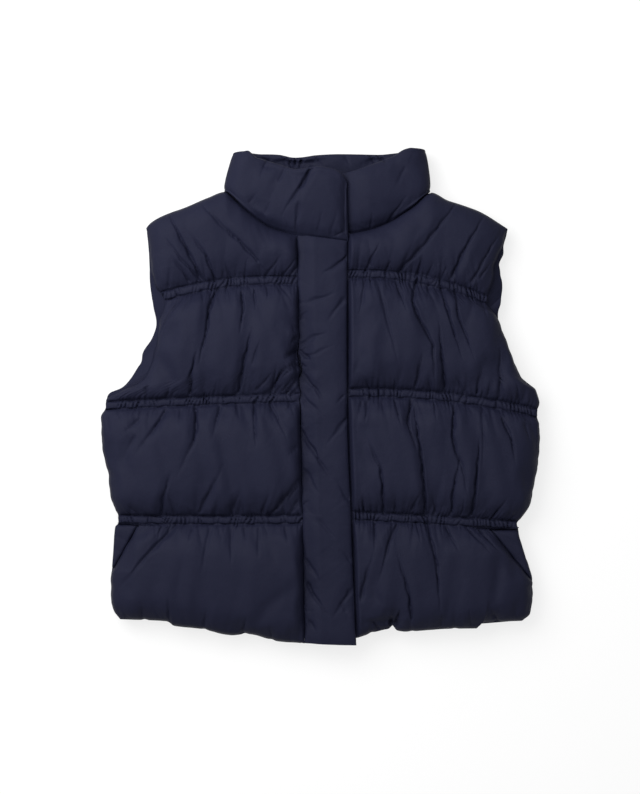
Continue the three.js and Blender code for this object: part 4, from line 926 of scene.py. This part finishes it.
def flap_underside(x, y):
    """Height of the flap's underside: a step up from the zip to the left front's covered edge."""
    past_zip = x - closing_line(y) - seam_wave(y) - gape(y) - ZIP_WIDTH - 2 * SEAM_GAP
    return LAYER_HEIGHT + 2 * SEAM_GAP + mix(*COVERED_WALL, ease(past_zip, -2, 10))


down = np.linspace(0, 1, FLAP_ROWS + 1)[:, None]
across = FLAP_ACROSS[None, :]
flap_y = mix(mix(*FLAP_TOP, across), mix(*FLAP_FOOT, across), down)
sewn = closing_line(flap_y[:, :1]) + seam_wave(flap_y[:, :1]) + gape(flap_y[:, :1]) + SEAM_GAP
free_edge = flap_free_edge(flap_y[:, -1:])
flap_x = mix(sewn, free_edge, across)
under_z = flap_underside(flap_x, flap_y)
from_end = np.minimum(down, 1 - down) * (FLAP_TOP[0] - FLAP_FOOT[0])
from_edge = np.minimum(across, 1 - across) * (free_edge - sewn)
wave = 0.8 * np.sin(down * 19) + 0.5 * np.sin(down * 47 + 1)
slack = 1 + 0.18 * wave * (1 + np.sin(3 * across + 11 * down))
edge_loft = mix(4.6, 4.2, ease(across, 0, 0.5))
loft = edge_loft + (FLAP_LOFT - edge_loft) * fullness(from_edge, 20) * fullness(from_end + 3, 20) * slack
under = np.dstack([flap_x, flap_y, under_z])
over = np.dstack([flap_x, flap_y, under_z + loft])
flap_grid = refine_tube(np.concatenate([under, over[:, ::-1]], axis=1))
flap_x, flap_y = flap_grid[:, :, 0], flap_grid[:, :, 1]
on_top = ease(tube_normals(flap_grid)[:, :, 2], 0.1, 0.6)
sewn_distance = flap_x - closing_line(flap_y)
free_distance = flap_free_edge(flap_y) - flap_x
rng = np.random.default_rng(71)
relief = fold_relief(flap_x, flap_y, FOLDS_FLAP, sharp=False)
relief += pucker_relief(flap_y, np.maximum(sewn_distance, 0), FLAP_SPAN, rng, 15, 1.4, 8)
relief += pucker_relief(flap_y, np.maximum(free_distance, 0), FLAP_SPAN, rng, 19, 0.8, 6)
least = flap_underside(flap_x, flap_y) + FLAP_WALL[0]
flap_grid[:, :, 2] -= np.minimum(relief * on_top, np.maximum(flap_grid[:, :, 2] - least, 0))
flap_sheet = {"points": flap_grid, "faces": tube_faces(*flap_grid.shape[:2], turned_inward(flap_grid)),
              "free": on_top * ease(np.minimum(sewn_distance, free_distance), 1, 8),
              "swell": 0.015, "pressure": 1.0, "bending": 0.6, "cap": 2.5, "lively": 0.25}
print("flap", flap_grid.shape)

# %% Let everything settle
settled = settle(panel_sheets + [collar_sheet, flap_sheet])

# %% [markdown]
# ## Close the panels
# Each settled sheet is made finer. Its bands get the small ruching that an over-long strip of cloth shows
# between two stitch rows, its rim is rounded down to the inside, and one plain face closes it where the
# lining lies.

# %% Ruching, rims and the plain inside
RUCHE_PITCH = 5.2
RUCHE_DEPTH = 3.5
RUCHE_TAIL = 8            # grid rows that it reaches into a tier
RUCHE_FADE = 0.75         # what each of them keeps of the last one's depth
STITCH_DIP = 0.65         # how far a stitch row of the uppermost band is drawn in
LOWER_DIP = 0.45          # how much more of that each lower band adds
SHARP_EDGE = math.radians(75)


def cut_folds(points, base, folds, up):
    """Cut the sharp part of the folds into the settled sheet, but leave 3 mm of wall over its base height."""
    height = up * (points[:, :, 2] - base)
    depth = fold_relief(points[:, :, 0], points[:, :, 1], folds, soft=False)
    points[:, :, 2] -= up * np.minimum(depth * ease(height, 2.5, 9), np.maximum(height - 3, 0))
    return points


def band_rows(tiers):
    """First and last fine row of every band: the two stitch rows at its edges."""
    rows = []
    for k in range(1, int(tiers.max()), 2):
        rows.append((2 * int(np.flatnonzero(tiers == k - 1)[-1]), 2 * int(np.flatnonzero(tiers == k + 1)[0])))
    return rows


def ruche(points, rows, seed, up):
    """Grooves across a band: (1 - |sin|) to the power 1.5 along it, of uneven pitch, slant and depth, full in
    its middle. The two stitch rows themselves are drawn in."""
    for number, (first, last) in enumerate(rows):
        part = points[first:last + 1]
        share = np.linspace(0, 1, len(part))[:, None]
        x = part[:, :, 0]
        phase = seed + 2.1 * number
        slant = (1.2 + 3.5 * np.sin(x / 14 + phase) + 2.0 * np.sin(x / 5.3)) * (share - 0.5)
        stray = 1.6 * np.sin(x / 21 + phase) + 1.1 * np.sin(x / 7.9) + 0.5 * np.sin(x / 3.7 + phase)
        wave = np.sin(np.pi * (x + slant) / RUCHE_PITCH + stray)
        strength = 0.55 + 0.75 * np.sin(x / 9 + 3 * phase) * np.sin(x / 5.3 + phase)
        notch = np.maximum(strength, 0.08) * (1 - np.abs(wave)) ** 1.5
        part[:, :, 2] -= up * RUCHE_DEPTH * notch * (0.35 + 0.65 * np.sin(np.pi * share) ** 0.35)
        # the gathers pull the stitch rows up and down a little, and reach a few rows into the tiers
        part[:, :, 1] += 0.75 * np.sin(x / 3.3 + phase) * np.sin(x / 13 + 2 * phase)
        for row, edge in ((first, 0), (last, -1)):
            step = -1 if edge == 0 else 1
            for beyond in range(1, RUCHE_TAIL + 1):
                points[row + step * beyond, :, 2] -= up * RUCHE_DEPTH * notch[edge] * RUCHE_FADE ** beyond
            along = x[edge]
            drawn = 0.55 + 0.3 * np.sin(along / 4.7 + 2 * phase + row) + 0.25 * np.sin(along / 1.9 + phase)
            drawn = STITCH_DIP * (1 + LOWER_DIP * number) * np.maximum(drawn, 0.05)
            points[row, :, 2] -= up * drawn
            points[row - 1:row + 2, :, 2] -= up * 0.4 * drawn
    return points


def closed_pad(name, points, inside, flip, rim=0.7, straight=None):
    """A closed mesh from an outer grid: the grid, three rim rings that bulge by rim and end at the inside
    height, and one plain face. straight marks rim points that meet a neighbour and don't bulge."""
    rows, columns = points.shape[:2]
    index = np.arange(rows * columns).reshape(rows, columns)
    loop = np.concatenate([index[0, :-1], index[:-1, -1], index[-1, :0:-1], index[:0:-1, 0]])
    flat = points.reshape(-1, 3)
    edge = flat[loop]
    ahead, behind = np.roll(edge, -1, axis=0), np.roll(edge, 1, axis=0)
    tangent = ahead[:, :2] - behind[:, :2]
    area = np.sum(edge[:, 0] * ahead[:, 1] - ahead[:, 0] * edge[:, 1])
    outward = np.stack([tangent[:, 1], -tangent[:, 0]], axis=1) * np.sign(area)
    outward /= np.maximum(np.linalg.norm(outward, axis=1, keepdims=True), 1e-6)
    bulge = np.full((len(loop), 1), rim)
    if straight is not None:
        bulge[straight(edge)] = 0.0
    rings = []
    for height, swell in ((0.62, 1.0), (0.3, 0.9), (0.0, 0.25)):
        ring = edge.copy()
        ring[:, :2] += outward * bulge * swell
        ring[:, 2] = mix(inside, edge[:, 2], height)
        rings.append(ring)
    count = len(loop)
    rims = [loop] + [len(flat) + count * k + np.arange(count) for k in range(3)]
    faces = [grid_faces(rows, columns, flip)]
    for upper, lower in zip(rims[:-1], rims[1:]):
        quads = np.stack([upper, np.roll(upper, -1), np.roll(lower, -1), lower], axis=1)
        faces.append(quads[:, ::-1] if not flip else quads)
    faces = np.concatenate(faces).tolist()
    faces.append(rims[-1].tolist() if flip else rims[-1][::-1].tolist())
    obj = new_object(name, np.concatenate([flat] + rings), faces)
    obj.data.set_sharp_from_angle(angle=SHARP_EDGE)
    return obj


def by_neighbour(edge):
    """Rim points along the closing and under the collar."""
    x, y = edge[:, 0], edge[:, 1]
    closing = np.abs(x - closing_line(y) - ZIP_WIDTH / 2) < ZIP_WIDTH
    return closing | ((y > 195) & (x > -119) & (x < 138))


pads = {}
stitch_rows = {}
for sheet, points in zip(panel_sheets, settled):
    spec, up = sheet["spec"], -1 if sheet["spec"]["name"] == "back" else 1
    fine = refine_grid(points)
    rows = band_rows(sheet["grid"]["tier"])
    inside = LAYER_HEIGHT if up < 0 else LAYER_HEIGHT + SEAM_GAP
    fine = cut_folds(fine, inside, spec["folds"], up)
    fine = ruche(fine, rows, spec["seed"], up)
    if up < 0:
        fine[:, :, 2] = np.clip(fine[:, :, 2], 0, inside - LEAST_WALL)
    else:
        fine[:, :, 2] = np.maximum(fine[:, :, 2], inside + LEAST_WALL)
    pads[spec["name"]] = closed_pad(spec["name"] + "_pad", fine, inside, sheet["flip"], straight=by_neighbour)
    first_column = 2 * sheet["grid"]["covered_columns"]
    stitch_rows[spec["name"]] = [fine[row, first_column:] for pair in rows for row in pair]
    print(spec["name"], "points", fine.shape)

# %% [markdown]
# ## Collar, flap, pocket facings and stitches
# The collar and the flap are closed tubes already. The facing behind each pocket mouth is a thin padded
# corner between the front's slanted edge and the side seam. Every stitch is a small capsule that lies along
# its row.

# %% Collar and flap pads
def tube_pad(name, rings, folds, least):
    """The settled tube, made finer, with the sharp part of its folds cut into what faces up, down to no less
    than the least height over each place."""
    fine = refine_tube(rings)
    normals = tube_normals(fine)
    depth = fold_relief(fine[:, :, 0], fine[:, :, 1], folds, soft=False) * ease(normals[:, :, 2], 0.05, 0.5)
    depth = np.minimum(depth, np.maximum(fine[:, :, 2] - least(fine[:, :, 0], fine[:, :, 1]), 0))
    fine -= normals * depth[:, :, None]
    fine[:, :, 2] = np.maximum(fine[:, :, 2], 0)
    obj = new_object(name, fine.reshape(-1, 3), tube_faces(*fine.shape[:2], turned_inward(fine)))
    obj.data.set_sharp_from_angle(angle=SHARP_EDGE)
    return obj


pads["collar"] = tube_pad("collar_pad", settled[-2], FOLDS_COLLAR, lambda x, y: 0 * x)
pads["storm_flap"] = tube_pad("storm_flap_pad", settled[-1], FOLDS_FLAP,
                              lambda x, y: flap_underside(x, y) + FLAP_WALL[1])


# %% Pocket facings
def pocket_facing(name, pocket, side):
    """A thin pad whose inner edge runs 0.6 mm behind the pocket mouth and whose outer edge is the side
    seam."""
    outward = math.copysign(1, pocket["mouth"])
    y = np.linspace(pocket["top"] - 1, pocket["bottom"] + 2, 32)[:, None]
    share = np.linspace(0, 1, 14)[None, :]
    mouth = pocket_line(pocket, y) + 0.6 * outward
    seam = outward * np.maximum(outward * side(y), outward * mouth + 1)
    x = mix(mouth, seam, share)
    edge = np.minimum(share, 1 - share) * np.abs(seam - mouth)
    end = np.minimum(y[0] - y, y - y[-1])
    thickness = mix(3.5, 8.0, fullness(edge, 5) * fullness(end, 8))
    thickness -= 0.7 * (1 - np.abs(np.sin(y / 5.5 + x / 9))) ** 2 * ease(edge, 0.5, 4)
    points = np.dstack([x, y * np.ones_like(x), LAYER_HEIGHT + SEAM_GAP + thickness])
    return closed_pad(name, points, LAYER_HEIGHT + SEAM_GAP, flip=outward < 0, rim=0.3)


pads["pocket_facing_right"] = pocket_facing("pocket_facing_right_pad", RIGHT_POCKET, right_side)
pads["pocket_facing_left"] = pocket_facing("pocket_facing_left_pad", LEFT_POCKET, left_side)

# %% Stitches
STITCH_PITCH = 3.3
STITCH_LENGTH = 2.5
THREAD = 0.28


def stitches(name, rows, up):
    """Capsules of four rings of six points along each row: the place of each is its share of the row's
    length."""
    rings = np.array([(-0.5, 0.35), (-0.36, 1.0), (0.36, 1.0), (0.5, 0.35)])
    turn = np.arange(6) * math.pi / 3
    all_points, all_faces, offset = [], [], 0
    for row in rows:
        step = np.linalg.norm(np.diff(row, axis=0), axis=1)
        walked = np.concatenate([[0], np.cumsum(step)])
        count = int(walked[-1] / STITCH_PITCH)
        middle = (np.arange(count) + 0.5) * STITCH_PITCH

        def at(distance):
            return np.stack([np.interp(distance, walked, row[:, k]) for k in range(3)], axis=-1)

        forward = at(middle + 0.8) - at(middle - 0.8)
        forward /= np.linalg.norm(forward, axis=1, keepdims=True)
        beside = np.cross(forward, (0.0, 0.0, float(up)))
        beside /= np.linalg.norm(beside, axis=1, keepdims=True)
        above = np.cross(beside, forward)
        centre = at(middle) + above * 0.12
        along = rings[None, :, :1, None] * STITCH_LENGTH * forward[:, None, None, :]
        circle = (np.cos(turn)[:, None] * beside[:, None, None, :]
                  + np.sin(turn)[:, None] * above[:, None, None, :])
        points = centre[:, None, None, :] + along + rings[None, :, 1:, None] * THREAD * circle
        index = offset + np.arange(points.size // 3).reshape(points.shape[:3])
        beside_index = np.roll(index, -1, axis=2)
        quads = np.stack([index[:, :-1], beside_index[:, :-1], beside_index[:, 1:], index[:, 1:]], axis=-1)
        all_points.append(points.reshape(-1, 3))
        all_faces += quads.reshape(-1, 4).tolist()
        all_faces += index[:, 0, ::-1].tolist() + index[:, -1].tolist()
        offset += points.size // 3
    obj = new_object(name, np.concatenate(all_points), all_faces)
    print(name, "stitches", offset // 24)
    return obj


threads = {name: stitches(name + "_stitches", rows, -1 if name == "back" else 1)
           for name, rows in stitch_rows.items()}

# %% [markdown]
# ## Materials
# The shell is a navy woven nylon with a faint sheen, and the thread is the same navy and matt. A small class
# lets shader maths be written as Python expressions, so each finish reads as a formula.


# %% A socket that takes operators
class Wire:
    """A socket of a material's node tree. Operators add Math nodes, and node() adds any other node."""

    def __init__(self, tree, socket):
        self.tree, self.socket = tree, socket

    def node(self, kind, settings=None, output=0, **inputs):
        """Add a node of a type: first its settings, then the values or links of its sockets by name or
        index."""
        made = self.tree.nodes.new(kind)
        for key, value in (settings or {}).items():
            setattr(made, key, value)
        for key, value in inputs.items():
            socket = made.inputs[int(key[1:])] if key[0] == "i" and key[1:].isdigit() else made.inputs[key]
            if isinstance(value, Wire):
                self.tree.links.new(value.socket, socket)
            else:
                socket.default_value = value
        return Wire(self.tree, made.outputs[output])

    def _maths(self, operation, *values):
        sockets = {f"i{k}": value for k, value in enumerate(values)}
        return self.node("ShaderNodeMath", {"operation": operation}, **sockets)

    def __add__(self, other):
        return self._maths("ADD", self, other)

    __radd__ = __add__

    def __mul__(self, other):
        return self._maths("MULTIPLY", self, other)

    __rmul__ = __mul__

    def sine(self):
        """Sine of the value."""
        return self._maths("SINE", self)

    def noise(self, scale, detail=2.0, roughness=0.5):
        """Noise from 0 to 1 on this vector."""
        return self.node("ShaderNodeTexNoise", Vector=self, Scale=scale, Detail=detail, Roughness=roughness)

    def part(self, axis):
        """One coordinate of a vector."""
        return self.node("ShaderNodeSeparateXYZ", output="XYZ".index(axis), Vector=self)

    def between(self, low, high):
        """Colour from low to high as the value goes from 0 to 1."""
        return self.node("ShaderNodeMix", {"data_type": "RGBA"}, output=2, i0=self, i6=low, i7=high)


def new_material(name, **constants):
    """A Principled material with constant sockets set: the material, its shader and its Object
    coordinates."""
    material = bpy.data.materials.new(name)
    material.use_nodes = True
    tree = material.node_tree
    shader = tree.nodes["Principled BSDF"]
    for socket, value in constants.items():
        shader.inputs[socket.replace("_", " ")].default_value = value
    place = tree.nodes.new("ShaderNodeTexCoord")
    return material, shader, Wire(tree, place.outputs["Object"])


def bumped(place, *layers):
    """A normal from bump layers of (height wire, distance in metres, strength), each on top of the last."""
    normal = None
    for height, distance, strength in layers:
        links = {"Height": height, "Distance": distance, "Strength": strength}
        if normal is not None:
            links["Normal"] = normal
        normal = place.node("ShaderNodeBump", **links)
    return normal


def connect(tree, shader, **wires):
    """Link wires to the shader's sockets."""
    for socket, wire in wires.items():
        tree.links.new(wire.socket, shader.inputs[socket.replace("_", " ")])


# %% [markdown]
# ## The shell's nylon
# A dense plain weave: two crossed sets of threads half a millimetre apart, which only shows close up. What
# shows from a step away is the fine crumple of thin cloth, a little colour drift, and a sheen that is uneven.

# %% Nylon, facing and thread
NAVY_LIGHT = (0.0071, 0.0078, 0.0180, 1.0)
NAVY_DEEP = (0.0057, 0.0063, 0.0148, 1.0)
THREAD_NAVY = (0.0068, 0.0076, 0.0172, 1.0)
# The zip's two rib tones are darker than the shell's navy: painted shade for the dark gap along the flap's
# seam.
ZIP_DEEP_PAINTED_SHADE = (0.0026, 0.0030, 0.0070, 1.0)
ZIP_LIGHT_PAINTED_SHADE = (0.0050, 0.0056, 0.0130, 1.0)


def turns(pitch):
    """What a place in metres is multiplied by, so that its sine repeats at a pitch."""
    return 2 * math.pi / pitch


WEAVE_TURNS = turns(0.0009)
TWIST_TURNS = turns(0.0007)
RIB_TURNS = turns(0.0022)


def nylon(name, crumple):
    """Woven nylon: colour drifts with slow noise, roughness with finer noise, and the normal carries the
    crumple at two sizes and the weave, the sine of the place across times the sine of the place along."""
    material, shader, place = new_material(name, Specular_IOR_Level=0.05)
    drift = place.noise(9.0, 3.0)
    grain = place.noise(900.0, 2.0)
    soft = place.noise(55.0, 3.0, 0.55)
    fine = place.noise(170.0, 3.0, 0.6)
    weave = (place.part("X") * WEAVE_TURNS).sine() * (place.part("Y") * WEAVE_TURNS).sine()
    colour = (drift * 0.8 + grain * 0.2).between(NAVY_DEEP, NAVY_LIGHT)
    roughness = 0.52 + soft * 0.14 + grain * 0.06
    normal = bumped(place, (soft, 0.004, 0.22 * crumple), (fine, 0.0012, 0.22 * crumple),
                    (weave, 0.00008, 0.5))
    connect(material.node_tree, shader, Base_Color=colour, Roughness=roughness, Normal=normal)
    return material


def thread(name, colour):
    """Twisted thread: two tones in slanted bands."""
    material, shader, place = new_material(name, Roughness=0.7, Specular_IOR_Level=0.05)
    twist = ((place.part("X") + place.part("Y")) * TWIST_TURNS).sine() * 0.5 + 0.5
    dark = tuple(0.7 * value for value in colour[:3]) + (1.0,)
    connect(material.node_tree, shader, Base_Color=twist.between(dark, colour),
            Normal=bumped(place, (twist, 0.00008, 0.5)))
    return material


SHELL = nylon("shell_nylon", crumple=1.0)
FACING = nylon("facing_nylon", crumple=0.7)
STITCHING = thread("navy_thread", THREAD_NAVY)


def zip_tape(name):
    """Woven tape with a moulded chain: fine ribs along it, in a navy darkened as painted shade."""
    material, shader, place = new_material(name, Roughness=0.7, Specular_IOR_Level=0.08)
    ribs = (place.part("Y") * RIB_TURNS).sine() * 0.5 + 0.5
    connect(material.node_tree, shader, Base_Color=ribs.between(ZIP_DEEP_PAINTED_SHADE, ZIP_LIGHT_PAINTED_SHADE),
            Normal=bumped(place, (ribs, 0.0003, 0.6)))
    return material


# %% Give every piece its finish, its body and its node
SLOTS = {"pocket_facing_right": "pocket", "pocket_facing_left": "pocket"}
for node, pad in pads.items():
    pad.data.materials.append(FACING if node in SLOTS else SHELL)
    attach(pad, "root")
    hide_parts(node)
    print(node, "triangles", sum(len(face.vertices) - 2 for face in pad.data.polygons))
for node, sewing in threads.items():
    sewing.data.materials.append(STITCHING)
    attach(sewing, "root")
bpy.data.objects["zip"].material_slots[0].material = zip_tape("zip_tape")

# %% [markdown]
# ## Floor, light and camera
# The vest was photographed from straight above on white, in soft light that comes a little more from its
# upper left, so it casts a faint soft shadow to its lower right. The camera stands far off, so its view is
# nearly flat. The floor is a low grey that an even glow of its own lifts to white, which keeps the shadow as
# faint as there.

# %% The stage
LENS = 85.0
SENSOR = 36.0
FRAME_HEIGHT = PHOTO_SIZE[1] * MM_PER_PIXEL * MM
MIDDLE_HEIGHT = 0.024     # height in the vest at which one pixel is 1.25 mm
FLOOR_DEEP = (0.155, 0.155, 0.155, 1.0)
FLOOR_LIGHT = (0.165, 0.165, 0.165, 1.0)
FLOOR_GLOW = 0.74         # even, with no pattern: it lifts the grey floor to white
FLOOR_REACH = 3
FLOOR_HEIGHT = -0.0005
camera_distance = FRAME_HEIGHT * LENS / SENSOR

floor_mesh = bpy.data.meshes.new("floor")
corners = [(-FLOOR_REACH, -FLOOR_REACH), (FLOOR_REACH, -FLOOR_REACH), (FLOOR_REACH, FLOOR_REACH),
           (-FLOOR_REACH, FLOOR_REACH)]
floor_mesh.from_pydata([(x, y, FLOOR_HEIGHT) for x, y in corners], [], [(0, 1, 2, 3)])
floor = bpy.data.objects.new("floor", floor_mesh)
bpy.context.scene.collection.objects.link(floor)
floor_finish, floor_shader, floor_place = new_material(
    "white_floor", Roughness=0.9, Specular_IOR_Level=0.1,
    Emission_Color=(1, 1, 1, 1), Emission_Strength=FLOOR_GLOW)
connect(floor_finish.node_tree, floor_shader,
        Base_Color=floor_place.noise(2.0).between(FLOOR_DEEP, FLOOR_LIGHT))
floor.data.materials.append(floor_finish)

camera_data = bpy.data.cameras.new("camera")
camera_data.lens = LENS
camera_data.sensor_width = SENSOR
camera = bpy.data.objects.new("camera", camera_data)
camera.location = (-0.5 * MM_PER_PIXEL * MM, 0, MIDDLE_HEIGHT + camera_distance)
bpy.context.scene.collection.objects.link(camera)
bpy.context.scene.camera = camera


def soft_light(name, spot, size, watts):
    """A square area light that looks at the middle of the vest."""
    data = bpy.data.lights.new(name, "AREA")
    data.size = size
    data.energy = watts
    light = bpy.data.objects.new(name, data)
    light.location = spot
    light.rotation_euler = (-Vector(spot)).to_track_quat("-Z", "Y").to_euler()
    bpy.context.scene.collection.objects.link(light)


soft_light("key", (-0.66, 0.64, 1.20), 2.6, 16.0)
soft_light("near", (-0.50, 0.48, 0.92), 0.9, 21.5)
world = bpy.data.worlds.new("studio")
world.use_nodes = True
world.node_tree.nodes["Background"].inputs["Color"].default_value = (1.0, 1.0, 1.0, 1.0)
world.node_tree.nodes["Background"].inputs["Strength"].default_value = 0.78
bpy.context.scene.world = world
bpy.context.scene.view_settings.view_transform = "Standard"
